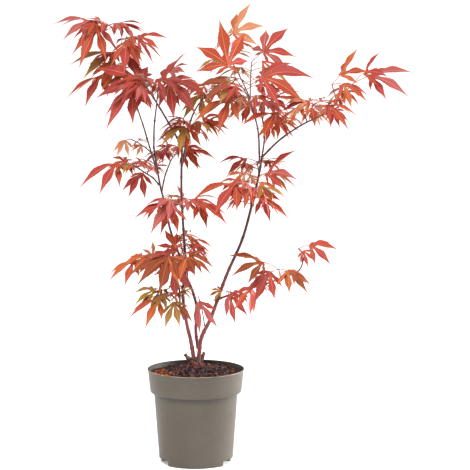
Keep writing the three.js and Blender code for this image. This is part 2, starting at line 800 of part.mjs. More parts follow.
// The places already taken by limbs and leaves, kept by small cubes of space
class Taken {
  constructor() {
    this.cells = new Map();
  }

  add(points, owner, radius) {
    for (const point of points) {
      const key = this.cellOf(point).join();
      if (!this.cells.has(key)) this.cells.set(key, []);
      this.cells.get(key).push({ point, owner, radius });
    }
  }

  cellOf(point) {
    return point.toArray().map((value) => Math.floor(value / ROOM.cell));
  }

  touches(points, owner, room, ownRoom) {
    return points.some((point) => this.near(point).some((other) => {
      const needed = other.owner === owner ? ownRoom : room;
      return point.distanceTo(other.point) < needed + other.radius;
    }));
  }

  near(point) {
    const [i, j, k] = this.cellOf(point);
    const found = [];
    for (const di of [-1, 0, 1]) {
      for (const dj of [-1, 0, 1]) {
        for (const dk of [-1, 0, 1]) {
          found.push(...(this.cells.get(`${i + di},${j + dj},${k + dk}`) || []));
        }
      }
    }
    return found;
  }
}

function petioleRise(rise) {
  const { share: part, more, least, most } = PETIOLE_RISE;
  return THREE.MathUtils.clamp(rise * part + more, least, most);
}

// The bend of a curve from `foot` to `end` that arches upwards
function archedBend(foot, end, { bendAt, arch }) {
  return foot.clone().lerp(end, bendAt).addScaledVector(UP, foot.distanceTo(end) * arch);
}

function petioleCurve(foot, leaf) {
  const bend = archedBend(foot, leaf.heart, PETIOLE);
  const end = leaf.heart.clone().addScaledVector(leaf.ahead, PETIOLE.intoBlade);
  return new THREE.QuadraticBezierCurve3(foot, bend, end);
}

// Draws one leaf on its petiole, turning it a little further at each try until nothing is touched
function placeLeaf(mass, foot, [heading, rise, lean, length], taken) {
  const { random } = mass;
  for (let attempt = 0; attempt < DRAW.tries; attempt++) {
    const wander = DRAW.wander * attempt;
    const turn = heading + (random() - 0.5) * wander;
    const lift = rise + (random() - 0.5) * wander;
    const droop = LEAF.droop * share(DRAW.droop, random);
    const size = length * (1 - DRAW.shrink * attempt);
    const sagging = THREE.MathUtils.radToDeg(Math.atan(droop)) * Math.cos(degrees(lift));
    const stalk = size * LEAF.petiole * (attempt ? share(DRAW.stalk, random) : 1);
    const leaf = { length: size, droop, ...bladeAxes(turn, lift + sagging, lean) };
    leaf.heart = foot.clone().addScaledVector(direction(turn, petioleRise(lift)), stalk);
    leaf.lobes = drawLobes(leaf, random);
    leaf.petiole = petioleCurve(foot, leaf);
    const blade = bladePoints(leaf);
    const stalkPoints = curvePoints(leaf.petiole);
    const within = blade.every((point) => point.distanceTo(mass.middle) < ROOM.reach);
    const bladeTouches = taken.touches(blade, mass.name, ROOM.leaf, ROOM.ownLeaf);
    if (within && !bladeTouches && !taken.touches(stalkPoints, mass.name, ROOM.stalk, -ROOM.cell)) {
      taken.add(blade, mass.name, 0);
      taken.add(stalkPoints, mass.name, PETIOLE.radius[0]);
      return leaf;
    }
  }
  return null;
}

// A mass's shoot, and the leaves it asks for: those at the shoot's end, then pairs further down,
// each pair square to the last
function planMass(row, index, limbs, taken) {
  const random = seeded(index + 1);
  const [heading, rise, , length] = row.leads[0];
  const stalk = direction(heading, petioleRise(rise)).multiplyScalar(length * LEAF.petiole);
  const end = vector(row.heart).sub(stalk);
  const limb = limbs[row.from];
  const bend = archedBend(limb.curve.getPoint(row.at), end, TWIG);
  const root = rootOn(limb, row.at, bend, TWIG.radius[0]);
  const shoot = new THREE.QuadraticBezierCurve3(root, bend, end);
  taken.add(curvePoints(shoot), row.name, TWIG.radius[0]);
  const along = end.clone().sub(root);
  const square = THREE.MathUtils.radToDeg(Math.atan2(along.y, along.x)) + 90;
  const leads = row.leads.map((aim) => ({ foot: end, aim }));
  const pairs = [];
  for (let i = 0; i < row.more; i++) {
    const pair = Math.floor(i / 2);
    const around = square + (i % 2) * 180 + pair * PAIRS.turn + (random() - 0.5) * DRAW.pairTurn;
    const size = length * share(DRAW.pairSize, random);
    const lift = (random() - 0.5) * DRAW.pairRise;
    const aim = [around, lift, (random() - 0.5) * DRAW.pairLean, size];
    pairs.push({ foot: shoot.getPoint(PAIRS.first - PAIRS.spacing * pair), aim });
  }
  return { name: row.name, tint: row.tint, shoot, middle: end, random, leads, pairs, leaves: [] };
}

function addLeaves(mass, wanted, taken) {
  for (const { foot, aim } of wanted) {
    const leaf = placeLeaf(mass, foot, aim, taken);
    if (leaf) mass.leaves.push(leaf);
  }
}

function massMesh(mass) {
  const pieces = [limbGeometry(mass.shoot, taper(TWIG.radius), TWIG.sides, TWIG.steps)];
  for (const leaf of mass.leaves) {
    pieces.push(leafGeometry(leaf));
  }
  return named(mass.name, geometryOf(fused(pieces)), TINTS[mass.tint], 0.6);
}

// The whole plant

const plant = new THREE.Group();
plant.add(potMesh(), soilMesh(), crownMesh());

const limbs = growLimbs();
const taken = new Taken();
for (const [name, { curve, radiusAt, bends }] of Object.entries(limbs)) {
  const thick = radiusAt(0) > LIMB_SIDES.thickFrom;
  const sides = thick ? LIMB_SIDES.thick : LIMB_SIDES.thin;
  const geometry = limbGeometry(curve, radiusAt, sides, bends * LIMB_SIDES.ringsPerBend);
  plant.add(named(name, geometry, thick ? '#6e3a3c' : '#7d4442', 0.7));
  taken.add(curvePoints(curve), name, radiusAt(0) + ROOM.limb - ROOM.leaf);
}

const masses = MASSES.map((row, index) => planMass(row, index, limbs, taken));
for (const mass of masses) addLeaves(mass, mass.leads, taken);
for (const mass of masses) addLeaves(mass, mass.pairs, taken);
for (const mass of masses) plant.add(massMesh(mass));

export default plant;
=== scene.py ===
import math
import bpy
import bmesh
import numpy as np
from mathutils import Matrix, Vector, noise


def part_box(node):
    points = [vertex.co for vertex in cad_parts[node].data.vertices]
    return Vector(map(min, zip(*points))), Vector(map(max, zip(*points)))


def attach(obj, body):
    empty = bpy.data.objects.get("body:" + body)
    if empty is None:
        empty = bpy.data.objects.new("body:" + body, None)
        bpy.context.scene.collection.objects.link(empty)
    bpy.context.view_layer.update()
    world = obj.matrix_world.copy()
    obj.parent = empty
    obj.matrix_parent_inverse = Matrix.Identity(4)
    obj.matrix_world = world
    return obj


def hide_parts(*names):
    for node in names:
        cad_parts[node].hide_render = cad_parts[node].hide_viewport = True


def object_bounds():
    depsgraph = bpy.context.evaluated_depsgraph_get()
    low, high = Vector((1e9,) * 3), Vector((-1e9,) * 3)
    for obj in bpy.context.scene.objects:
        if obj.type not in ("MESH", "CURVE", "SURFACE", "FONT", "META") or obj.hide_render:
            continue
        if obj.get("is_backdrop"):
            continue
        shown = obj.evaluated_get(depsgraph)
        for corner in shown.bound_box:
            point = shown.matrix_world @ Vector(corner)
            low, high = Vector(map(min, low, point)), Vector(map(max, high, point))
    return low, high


# Potted Japanese maple: a young garden plant with cut red leaves, in a round nursery pot.
# Tables and rules are in millimetres, as a plant is measured, and MM turns them into Blender's metres.
# The origin is the middle of the pot's underside, +Z is up and the front is towards -Y.

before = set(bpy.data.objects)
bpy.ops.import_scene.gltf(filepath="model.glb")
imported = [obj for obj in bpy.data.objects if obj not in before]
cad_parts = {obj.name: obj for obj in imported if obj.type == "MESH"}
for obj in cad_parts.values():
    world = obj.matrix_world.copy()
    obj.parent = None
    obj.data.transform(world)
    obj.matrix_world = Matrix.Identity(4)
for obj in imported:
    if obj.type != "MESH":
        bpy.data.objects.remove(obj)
cad_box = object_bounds()

MM = 0.001
UP = np.array([0.0, 0.0, 1.0])

# Clear gap between two solids that touch on the real plant
SEAT = 0.3

# Pot: a tapering wall under a wider collar, with a foot that is cut away at both sides
POT = {
    "height": 149, "rim_radius": 76.5, "lip_height": 2.5, "lip_inset": 0.8, "collar_height": 36.7,
    "collar_radius": 72.2, "step_height": 2.4, "neck_radius": 66.2, "foot_radius": 57.8, "wall": 1.8,
    "floor_radius": 44, "floor_thickness": 2.4, "channel_height": 8, "steps": 128, "drain_holes": 6,
    "drain_radius": 3.5, "drain_circle": 49.5, "drain_steps": 32, "drain_cut": 20, "notch_angle": 84,
    "notch_inner": 46.7, "notch_steps": 16, "notch_below": 5, "stud_circle": 50.6, "stud_radius": 4.2,
    "stud_round": 1.5, "stud_steps": 48, "collar_tuck": 0.6, "collar_bulge": 0.2, "step_end": 1.6,
    "lip_slope": 0.2, "merge": 0.02, "crease_angle": 32,
}
# Where the wall ends and the collar starts
NECK = POT["height"] - POT["collar_height"]

# Compost: filled almost to the rim and heaped up under the stems. "fractal" is the roughness, gap and number
# of its octaves, and "side" how far its side keeps above and below the collar's step and above the floor.
SOIL = {
    "level": 150, "patch_radius": 21, "shoulder_radius": 46, "shoulder_level": 145.5,
    "edge_radius": 72.9, "edge_level": 142, "hollow": ((-40, 34), 20, 4), "under_crown": 0.2,
    "lump_scale": 0.09, "lump_height": 2.4, "fractal": (1.0, 2.0, 5), "edge_fade": 6, "edge_lumps": 0.3,
    "rings": 44, "sectors": 150, "clear": 1.0, "side": (1, 2, 0.5),
}

# What lies on the compost, by kind: its paint, its least and greatest radius, its shape, and its patches,
# each as how many, round which point and how widely spread
LITTER = {
    "crumbs": ("crumb", (1.2, 3.2), (1, 1, 0.8), [(1300, (0, 0), (40, 40))]),
    "clods": ("crumb", (3.4, 7), (1, 0.8, 0.7), [(150, (4, -10), (22, 22)), (40, (0, 0), (45, 45))]),
    "bark_chips": ("chip", (2.4, 5), (1, 0.55, 0.3), [
        (120, (-44, -14), (14, 20)), (50, (36, 26), (16, 14)), (60, (0, 0), (45, 45)),
    ]),
    "orange_chips": ("pale_chip", (2.6, 6), (1, 0.55, 0.3), [
        (75, (-45, -16), (11, 17)), (14, (30, 24), (14, 12)), (12, (0, -40), (30, 12)),
    ]),
    "fibres": ("chip", (5, 8), (1, 0.09, 0.08), [(60, (0, 0), (40, 40))]),
}
# A loose lump: how uneven it is beside a ball, how far it tips over, how far its middle stands out of the
# compost as a share of its radius, and the room it keeps from the pot
LOOSE = {"uneven": 0.35, "tilt": 0.3, "proud": 0.075, "from_edge": 2.5}

# Cut stubs of older shoots on the root crown, each as its foot, its tip and its radius
STUBS = [
    ([-6, 0, 157.3], [-17, 2, 171.3], 3.0), ([7, 1, 157.3], [13, 3, 174.3], 2.9),
    ([-8, -6, 157.3], [-13, -10, 169.3], 2.0),
]

# A limb loses most of its girth near its foot: the power of its taper
TAPER = 1.3

# Bark: the spacing of a limb's rings, the swollen joints along it, how a limb widens at its foot, the buds
# at its joints, and its reliefs as (size of the lumps, height)
BARK = {
    "ring_step": 2.4, "first_joint": 16, "joint_spacing": 27, "joint_swell": 0.24, "joint_length": 1.6,
    "last_joint": 6, "flare": {"stem": 1.05, "bough": 1.5}, "sunk": 0.9, "first_bud": 20, "bud_lean": 0.8,
    "lumps": (5, 0.28), "grain": (1.4, 0.12),
}

# The root crown's bark, and the cut ends of its stubs
CROWN = {
    "merge": 0.01, "skin_step": 0.8, "smoothing": 4, "lumps": (5.5, 3.4), "grain": (1.6, 1.3),
    "end_steps": 20, "end_inset": 0.1, "end_depth": 2.4, "end_back": 0.7, "end_round": 0.35,
    "end_relief": (2.5, 0.5),
}

# A bud's outline from foot to point, as (height, radius), and how it stands on its twig
BUD = {
    "outline": [(0, 0.45), (0.35, 0.75), (0.8, 0.62), (1.25, 0.3), (1.6, 0.04)], "stretch": 1.1, "sunk": 0.3,
}

# Shoots, side twigs and petioles as they show: their radii from the foot on, and how many sides they have.
# "seed" starts the draws of the leaves' tints.
FINE = {
    "shoot_sides": 7, "sides": 5, "swell": (1.5, 1.15), "sunk": 1.2, "petiole": (0.72, 0.5),
    "petiole_step": 1.4, "twig": (0.7, 0.6, 0.5), "twig_sag": 0.4, "young_petiole": (0.42, 0.32),
    "seed": 900,
}

# The photograph's camera: far off, a little above the plant and looking down on it
CAMERA = {"place": [61.8, -3470.8, 811.9], "target": [61.8, 0, 361.1], "lens": 171.2, "sensor": 36}

# Stems and boughs. "from" is the older limb that each one grows from, at the place "at" from 0 at that
# limb's foot to 1 at its tip, or else the point that it starts from. "radius" is at its foot and its tip,
# and "path" lists the bends that follow.
LIMB_COLUMNS = ("name", "from", "at", "radius", "path")
LIMBS = [dict(zip(LIMB_COLUMNS, row)) for row in (
    ("stem_middle", [-3.4, -3, 167.2], None, [3.4, 1.7],
     [[-8, -5, 195], [-15, -6, 227], [-20, -4, 271], [-15, 0, 309], [-18, 4, 353], [-22, 8, 431],
      [-21, 10, 498]]),
    ("stem_right", [4.8, -3, 167.2], None, [3.6, 1.8],
     [[9, -6, 199], [24, -10, 231], [40, -10, 276], [52, -8, 307], [74, -4, 357], [90, 0, 416],
      [98, 4, 450], [104, 6, 482]]),
    ("stem_left", "stem_right", 0.06, [2.9, 1.5],
     [[0, 8, 209], [2, 10, 241], [-4, 13, 267], [-15, 16, 294], [-25, 18, 324], [-40, 18, 367],
      [-48, 16, 407], [-56, 14, 440], [-65, 12, 497]]),
    ("stem_thin", "stem_middle", 0.3, [1.8, 1.3],
     [[-24, -12, 247], [-25, -16, 276], [-30, -20, 302], [-36, -22, 322]]),
    ("bough_left_top", "stem_middle", 1, [1.7, 1.1],
     [[-38, 6, 530], [-58, 0, 565], [-85, -6, 607], [-119, -10, 649], [-140, -12, 675]]),
    ("bough_centre_top", "stem_middle", 0.965, [1.5, 1.1], [[-9, 20, 534], [4, 26, 563], [23, 30, 583]]),
    ("bough_left_side", "stem_left", 0.89, [1.4, 1.1], [[-66, 6, 450], [-77, 0, 458], [-88, -5, 466]]),
    ("bough_left_inner", "stem_left", 0.95, [1.4, 1.1], [[-74, 2, 508], [-81, -6, 534], [-94, -16, 574]]),
    ("bough_left_upper", "stem_left", 1, [1.4, 1.1], [[-64, 4, 532], [-60, -6, 564]]),
    ("bough_left_back", "stem_left", 0.86, [1.4, 1.1], [[-48, 38, 452], [-40, 70, 472]]),
    ("bough_right_upper", "stem_right", 0.97, [1.6, 1.1], [[98, -6, 522], [91, -12, 553], [83, -16, 581]]),
    ("bough_right_top", "stem_right", 1, [1.7, 1.1],
     [[132, 8, 510], [166, 10, 533], [199, 8, 549], [221, 4, 561]]),
    ("bough_right_low", "stem_right", 0.34, [1.8, 1.1],
     [[70, -24, 276], [104, -34, 287], [139, -42, 301], [161, -46, 312], [169, -48, 334]]),
    ("bough_rear_high", "stem_right", 0.95, [1.5, 1.1], [[108, 36, 508], [106, 70, 534], [102, 98, 552]]),
    ("bough_rear_low", "stem_left", 0.52, [1.5, 1.1], [[-28, 50, 320], [-33, 82, 314]]),
)]

# Masses of foliage. Each is one shoot from a limb, at the place "at", out to its first leaf, whose heart
# is at "heart". "leads" gives the leaves at the shoot's end as [heading, rise, lean, length]: the compass
# heading of the middle lobe, its rise above level, how far the blade leans to the front, all in degrees,
# and the lobe's length. "more" leaves then follow down the shoot by the seeded rule.
MASS_COLUMNS = ("name", "from", "at", "tint", "heart", "more", "leads")
MASSES = [dict(zip(MASS_COLUMNS, row)) for row in (
    ("leaves_left_top_tip", "bough_left_top", 1, "crimson", [-160, -24, 697], 2,
     [[186, -8, 22, 64], [205, -30, 18, 68]]),
    ("leaves_left_top_upper", "bough_left_top", 0.82, "red", [-107, -38, 670], 2,
     [[-100, -25, 0, 56], [5, -5, 30, 45]]),
    ("leaves_left_top_low", "bough_left_top", 0.76, "crimson", [-128, 14, 646], 1, [[190, -14, 20, 74]]),
    ("leaves_left_top_dark", "bough_left_top", 0.6, "maroon", [-89, -55, 609], 2,
     [[165, 14, 55, 78], [20, 35, 30, 46]]),
    ("leaves_left_top_orange", "bough_left_top", 0.68, "orange", [-148, 52, 609], 1, [[200, -32, 8, 68]]),
    ("leaves_left_top_back", "bough_left_top", 0.45, "olive", [-72, 62, 591], 2, [[95, -5, 0, 62]]),
    ("leaves_left_middle_top", "bough_left_upper", 1, "pink", [-37, -38, 606], 1,
     [[-50, -38, 45, 72], [10, 22, 15, 55]]),
    ("leaves_left_inner", "bough_left_inner", 1, "crimson", [-96, -36, 596], 1,
     [[225, -45, 20, 74], [-60, -20, 20, 48]]),
    ("leaves_centre_top", "bough_centre_top", 1, "red", [12, 36, 580], 2,
     [[200, -62, 35, 52], [70, 5, 0, 60]]),
    ("leaves_crown_left", "bough_right_upper", 0.9, "crimson", [51, -48, 629], 1, [[180, 74, 72, 78]]),
    ("leaves_crown_top", "bough_right_upper", 1, "peach", [59, 0, 676], 2, [[8, 50, 32, 66]]),
    ("leaves_crown_middle", "bough_right_upper", 0.95, "crimson", [106, 12, 646], 2, [[18, 32, 45, 62]]),
    ("leaves_crown_right", "bough_right_upper", 0.78, "crimson", [103, -62, 611], 2,
     [[-6, 0, 45, 86], [182, 0, 40, 66]]),
    ("leaves_crown_low", "bough_right_upper", 0.84, "olive", [54, -38, 577], 2, [[208, -30, 20, 66]]),
    ("leaves_right_top_inner", "bough_right_top", 0.5, "red", [121, -20, 561], 0, [[192, 2, 12, 78]]),
    ("leaves_right_top_pale", "bough_right_top", 0.56, "peach", [178, 62, 556], 2, [[-60, -8, 10, 54]]),
    ("leaves_right_top_tip", "bough_right_top", 1, "orange", [226, -12, 612], 1,
     [[15, 45, 20, 52], [-10, -5, 30, 52]]),
    ("leaves_right_top_far", "bough_right_top", 0.93, "crimson", [273, 8, 609], 1,
     [[0, 2, 30, 76], [8, 30, 35, 62]]),
    ("leaves_right_top_low", "bough_right_top", 0.78, "orange", [204, -60, 573], 2, [[-5, -2, 20, 55]]),
    ("leaves_centre_middle", "bough_centre_top", 0.3, "red", [-20, -12, 534], 2,
     [[205, -30, 20, 56], [15, 5, 20, 46]]),
    ("leaves_left_side_tip", "bough_left_side", 1, "red", [-121, -22, 476], 2,
     [[206, -26, 20, 64], [170, 10, 30, 40]]),
    ("leaves_left_side_middle", "bough_left_side", 0.6, "crimson", [-86, 42, 454], 2, [[225, -55, 20, 44]]),
    ("leaves_left_twig", "stem_left", 0.98, "peach", [-109, -8, 510], 1, [[230, -60, 20, 30]]),
    ("leaves_left_back", "bough_left_back", 1, "crimson", [-22, 106, 492], 2,
     [[75, -5, 0, 60], [150, -15, 0, 56]]),
    ("leaves_middle_left", "stem_left", 0.76, "crimson", [-36, -60, 418], 2,
     [[202, -20, 20, 66], [10, 10, 20, 28]]),
    ("leaves_middle_centre", "stem_middle", 0.8, "red", [6, 52, 407], 1,
     [[-30, -30, 20, 52], [-120, 0, 10, 40]]),
    ("leaves_middle_front", "stem_right", 0.76, "crimson", [63, -82, 450], 2,
     [[200, -16, 20, 68], [235, -50, 30, 34]]),
    ("leaves_middle_right", "stem_right", 0.9, "red", [79, 45, 477], 2, [[185, -10, 20, 46]]),
    ("leaves_right_side_upper", "stem_right", 0.87, "peach", [110, -22, 460], 2,
     [[0, 24, 20, 70], [-40, -30, 30, 42]]),
    ("leaves_right_side_low", "stem_right", 0.72, "crimson", [104, 45, 414], 2, [[-20, -36, 20, 48]]),
    ("leaves_rear_high", "bough_rear_high", 1, "crimson", [100, 128, 566], 2,
     [[95, -10, 0, 66], [20, 5, 0, 58], [165, 0, 0, 60]]),
    ("leaves_rear_high_side", "bough_rear_high", 0.6, "orange", [146, 74, 541], 2, [[25, 10, 0, 58]]),
    ("leaves_rear_low", "bough_rear_low", 1, "red", [-42, 112, 304], 2,
     [[85, -10, 0, 62], [165, -5, 0, 56]]),
    ("leaves_low_left", "stem_thin", 1, "maroon", [-41, -58, 334], 2,
     [[216, -34, 30, 68], [-70, -25, 10, 50], [150, 42, 40, 42], [238, -74, 55, 62]]),
    ("leaves_low_left_far", "stem_thin", 0.86, "orange", [-96, -6, 321], 2,
     [[208, -32, 20, 50], [110, -5, 0, 40]]),
    ("leaves_low_left_under", "stem_thin", 0.45, "green", [-57, -30, 264], 2,
     [[206, -28, 20, 54], [-75, -50, 20, 44]]),
    ("leaves_low_middle", "stem_middle", 0.6, "rust", [-8, 10, 350], 2,
     [[-20, -36, 20, 44], [80, 0, 0, 48]]),
    ("leaves_low_hanging", "stem_right", 0.2, "pink", [6, -24, 258], 0, [[-85, -78, 55, 54]]),
    ("leaves_low_right_tip", "bough_right_low", 1, "crimson", [178, -52, 352], 0,
     [[-14, -8, 35, 50], [-60, -60, 60, 26]]),
    ("leaves_low_right_middle", "bough_right_low", 0.56, "rust", [105, -64, 327], 0,
     [[174, 4, 20, 66], [-38, -44, 25, 44], [226, -42, 45, 54]]),
    ("leaves_low_right_under", "bough_right_low", 0.3, "crimson", [87, -48, 285], 0,
     [[-100, -72, 62, 50], [60, 0, 0, 50]]),
    ("leaves_low_right_foot", "bough_right_low", 0.12, "crimson", [54, -34, 271], 0,
     [[-70, -70, 60, 42], [215, -68, 60, 30]]),
)]

# A leaf's seven lobes from left to right, as (degrees from the middle lobe, length as a share of its length)
LOBES = [(118, 0.32), (78, 0.64), (39, 0.9), (0, 1), (-39, 0.9), (-78, 0.64), (-118, 0.32)]

# The blade's proportions to its longest lobe. A leaf of "full_size" or more has all seven lobes, and smaller
# ones leave out the first and the last.
LEAF = {
    "half_width": 0.14, "widest": 0.55, "valley": 0.19, "droop": 0.4, "fold": 0.42, "petiole": 0.4,
    "full_size": 60, "crease": 0.3, "half_thickness": 0.22, "rib": 0.0095, "rib_taper": 0.7,
    "past_valley": 1.05, "behind_heart": 0.05,
}
# A lobe's edge, as (distance from the heart, half width), both as shares of the lobe's length
EDGE = [
    (0.27, 0.064), (0.34, 0.086), (0.41, 0.11), (0.49, 0.131), (0.56, 0.138), (0.63, 0.12), (0.7, 0.088),
    (0.78, 0.054), (0.87, 0.026), (0.94, 0.012),
]
PLAIN_EDGE = [(0.34, 0.086), (0.52, 0.128), (0.66, 0.096), (0.82, 0.036)]
# Teeth along the edge: how many, how far each stands out, how soon its notch follows, and how long a lobe
# has to be to show them
TEETH = {"from": 0.3, "to": 0.88, "count": 8, "out": 0.04, "notch": 0.016, "lobe_over": 34}

# Shoots and petioles arch upwards: "arch" is the height of the bend, as a share of the length
TWIG = {"radius": [1.1, 0.85], "arch": 0.1, "bend_at": 0.5}
PETIOLE = {"radius": [0.8, 0.65], "arch": 0.12, "bend_at": 0.55, "into_blade": 2}
PETIOLE_RISE = {"share": 0.5, "more": 22, "least": -35, "most": 60}

# The seeded rule: how far its draws spread, in degrees or as (least, spread) of a share, and how each
# further try at a leaf wanders and shrinks
DRAW = {
    "lobe_turn": 7, "lobe_length": (0.92, 0.16), "droop": (0.7, 0.6), "stalk": (0.85, 0.4),
    "pair_turn": 40, "pair_rise": 30, "pair_lean": 30, "pair_size": (0.62, 0.3),
    "tries": 28, "wander": 5, "shrink": 0.01,
}
# Where pairs of leaves stand on a shoot, and the quarter turn from each pair to the next
PAIRS = {"first": 0.7, "spacing": 0.3, "turn": 90}

# The seeded rule's random numbers: how a seed starts them, and the factor and modulus that carry them on
SEED = {"step": 7919, "start": 104729, "factor": 48271, "modulus": 2147483647}

# Room kept clear around leaves and twigs, the most that a leaf may be from its shoot's end, and how closely
# blades and curves are sampled to see what they would touch
ROOM = {
    "leaf": 6, "stalk": 4, "own_leaf": 2.5, "limb": 2.6, "reach": 128, "sample_step": 6, "curve_step": 3.6,
    "across": (0, 0.5, -0.5, 1, -1), "slim": 2.5, "most": 9,
}

# Finer growth that the solids leave out: on each shoot a side twig, and "twigs" more for each of its further
# leaves, with a pair of young leaves each
YOUNG = {
    "twigs": 2, "from": 0.3, "spacing": 0.28, "turn": (-30, 60), "lift": (10, 40), "length": (6, 9),
    "spread": 42, "rise": (-45, 45), "roll": (0, 40), "leaf": (28, 18), "seed": 500,
    "leaf_room": 3, "stalk_room": 1.6, "own_room": 1.4, "tries": 14, "past_box": 5,
}


def unit(vector):
    return vector / np.linalg.norm(vector)


def catmull_rom(points, t):
    """The point at the share t of a smooth curve through the points"""
    last = len(points) - 1
    place = last * t
    i = min(int(math.floor(place)), last - 1)
    weight = place - i
    before = points[i - 1] if i > 0 else 2 * points[0] - points[1]
    after = points[i + 2] if i + 2 <= last else 2 * points[last] - points[last - 1]
    start, end = points[i], points[i + 1]
    leave, arrive = 0.5 * (end - before), 0.5 * (after - start)
    square = -3 * start + 3 * end - 2 * leave - arrive
    cube = 2 * start - 2 * end + leave + arrive
    return start + leave * weight + square * weight ** 2 + cube * weight ** 3


def bezier(points, t):
    foot, bend, end = points
    return (1 - t) ** 2 * foot + 2 * (1 - t) * t * bend + t ** 2 * end


class Curve:
    """A curve through space, read at shares of its parameter from 0 to 1. Its length is measured by as many
    chords, and its tangent over as small a nudge, as three.js takes for the solids."""

    chords, nudge = 200, 1e-4

    def __init__(self, points, form):
        self.points = [np.array(point, float) for point in points]
        self.form = form

    def at(self, t):
        return self.form(self.points, t)

    def tangent(self, t):
        return unit(self.at(min(t + self.nudge, 1)) - self.at(max(t - self.nudge, 0)))

    def length(self):
        marks = np.array([self.at(i / self.chords) for i in range(self.chords + 1)])
        return float(np.linalg.norm(np.diff(marks, axis=0), axis=1).sum())

    def sampled(self, step):
        count = math.ceil(self.length() / step)
        return np.array([self.at(i / count) for i in range(count + 1)])


def taper(radius, t):
    """A limb's radius at the share t of its length"""
    return radius[1] + (radius[0] - radius[1]) * (1 - t) ** TAPER


def root_on(limb, at, towards, radius):
    """Where a shoot leaves a limb for a point: off the end of its tip, or off its side"""
    place, along = limb["curve"].at(at), limb["curve"].tangent(at)
    out = unit(towards - place)
    leaning = float(out @ along)
    if at == 1:
        return place + along * (SEAT + radius * math.sqrt(1 - leaning ** 2))
    aside = unit(out - along * leaning)
    return place + aside * (taper(limb["radius"], at) + SEAT + radius * abs(leaning))


def grow_limbs():
    """The stems and boughs by name, each as its curve and its radii"""
    limbs = {}
    for row in LIMBS:
        bends = [np.array(bend, float) for bend in row["path"]]
        if row["at"] is None:
            root = np.array(row["from"], float)
        else:
            root = root_on(limbs[row["from"]], row["at"], bends[0], row["radius"][0])
        limbs[row["name"]] = {"curve": Curve([root, *bends], catmull_rom), "radius": row["radius"]}
    return limbs


def seeded(seed):
    """Random numbers between 0 and 1, the same ones for the same seed"""
    state = (seed * SEED["step"] + SEED["start"]) % SEED["modulus"]
    while True:
        state = state * SEED["factor"] % SEED["modulus"]
        yield state / SEED["modulus"]


def share(draw, chance):
    """A number drawn from a least one and a spread"""
    return draw[0] + draw[1] * next(chance)


def direction(heading, rise):
    around, up = math.radians(heading), math.radians(rise)
    return np.array([math.cos(up) * math.cos(around), math.cos(up) * math.sin(around), math.sin(up)])


def blade_axes(heading, rise, lean):
    """The blade's own axes: ahead along the middle lobe, face out of its upper side, side to the left"""
    ahead = direction(heading, rise)
    level = np.array([-math.sin(math.radians(heading)), math.cos(math.radians(heading)), 0])
    face = direction(heading, rise + 90) * math.cos(math.radians(lean))
    face = face + level * ((-1 if level[1] > 0 else 1) * math.sin(math.radians(lean)))
    return {"ahead": ahead, "face": face, "side": np.cross(face, ahead)}


def draw_lobes(leaf, chance):
    """The lobes of a leaf, each turned and lengthened or shortened a little by chance"""
    chosen = LOBES[1:-1] if leaf["length"] < LEAF["full_size"] else LOBES
    lobes = []
    for turn, size in chosen:
        angle = math.radians(turn + (next(chance) - 0.5) * DRAW["lobe_turn"])
        length = leaf["length"] * size * share(DRAW["lobe_length"], chance)
        cosine, sine = math.cos(angle), math.sin(angle)
        out = leaf["ahead"] * cosine + leaf["side"] * sine - leaf["face"] * LEAF["fold"] * abs(sine)
        across = leaf["side"] * cosine - leaf["ahead"] * sine
        lobes.append({"length": length, "out": unit(out), "across": across})
    return lobes


def sagged(leaf, out, reach):
    """A point of the blade after it has sagged. A lobe that points straight up or down doesn't sag."""
    sag = leaf["droop"] * (1 - out[2] ** 2) * reach ** 2 / leaf["length"]
    return leaf["heart"] + out * reach - UP * sag


def lobe_edge(leaf, lobe, along, aside):
    """A point of a lobe, along it and to its side, both as shares of its length"""
    return sagged(leaf, lobe["out"], lobe["length"] * along) + lobe["across"] * lobe["length"] * aside


def half_width_at(along):
    """Half the width of a lobe's kite at a share of its length"""
    return LEAF["half_width"] * min(along / LEAF["widest"], (1 - along) / (1 - LEAF["widest"]))


def blade_points(leaf):
    """Points over the blade, close enough together to show what it would touch"""
    points = [leaf["heart"]]
    for lobe in leaf["lobes"]:
        count = math.ceil(lobe["length"] / ROOM["sample_step"])
        for i in range(1, count + 1):
            along = i / count
            half = half_width_at(along)
            for aside in ROOM["across"] if half * lobe["length"] > ROOM["slim"] else (0,):
                points.append(lobe_edge(leaf, lobe, along, aside * half))
    return np.array(points)


class Taken:
    """The places already taken by limbs and leaves"""

    def __init__(self):
        self.points, self.owners, self.radii = np.empty((0, 3)), np.empty(0, int), np.empty(0)
        self.names = {}

    def number(self, owner):
        return self.names.setdefault(owner, len(self.names))

    def add(self, points, owner, radius):
        self.points = np.vstack([self.points, points])
        self.owners = np.append(self.owners, np.full(len(points), self.number(owner)))
        self.radii = np.append(self.radii, np.full(len(points), float(radius)))

    def touches(self, points, owner, room, own_room):
        low, high = points.min(0) - ROOM["most"], points.max(0) + ROOM["most"]
        close = np.all((self.points > low) & (self.points < high), axis=1)
        if not close.any():
            return False
        needed = np.where(self.owners[close] == self.number(owner), own_room, room) + self.radii[close]
        apart = np.linalg.norm(points[:, None, :] - self.points[close][None, :, :], axis=2)
        return bool((apart < needed).any())


def petiole_rise(rise):
    """How steeply a petiole rises to a blade with this rise"""
    wanted = rise * PETIOLE_RISE["share"] + PETIOLE_RISE["more"]
    return min(max(wanted, PETIOLE_RISE["least"]), PETIOLE_RISE["most"])


def arched_bend(foot, end, kind):
    """The bend of a curve from foot to end that arches upwards"""
    return foot + (end - foot) * kind["bend_at"] + UP * np.linalg.norm(end - foot) * kind["arch"]


def petiole_curve(foot, leaf):
    end = leaf["heart"] + leaf["ahead"] * PETIOLE["into_blade"]
    return Curve([foot, arched_bend(foot, leaf["heart"], PETIOLE), end], bezier)


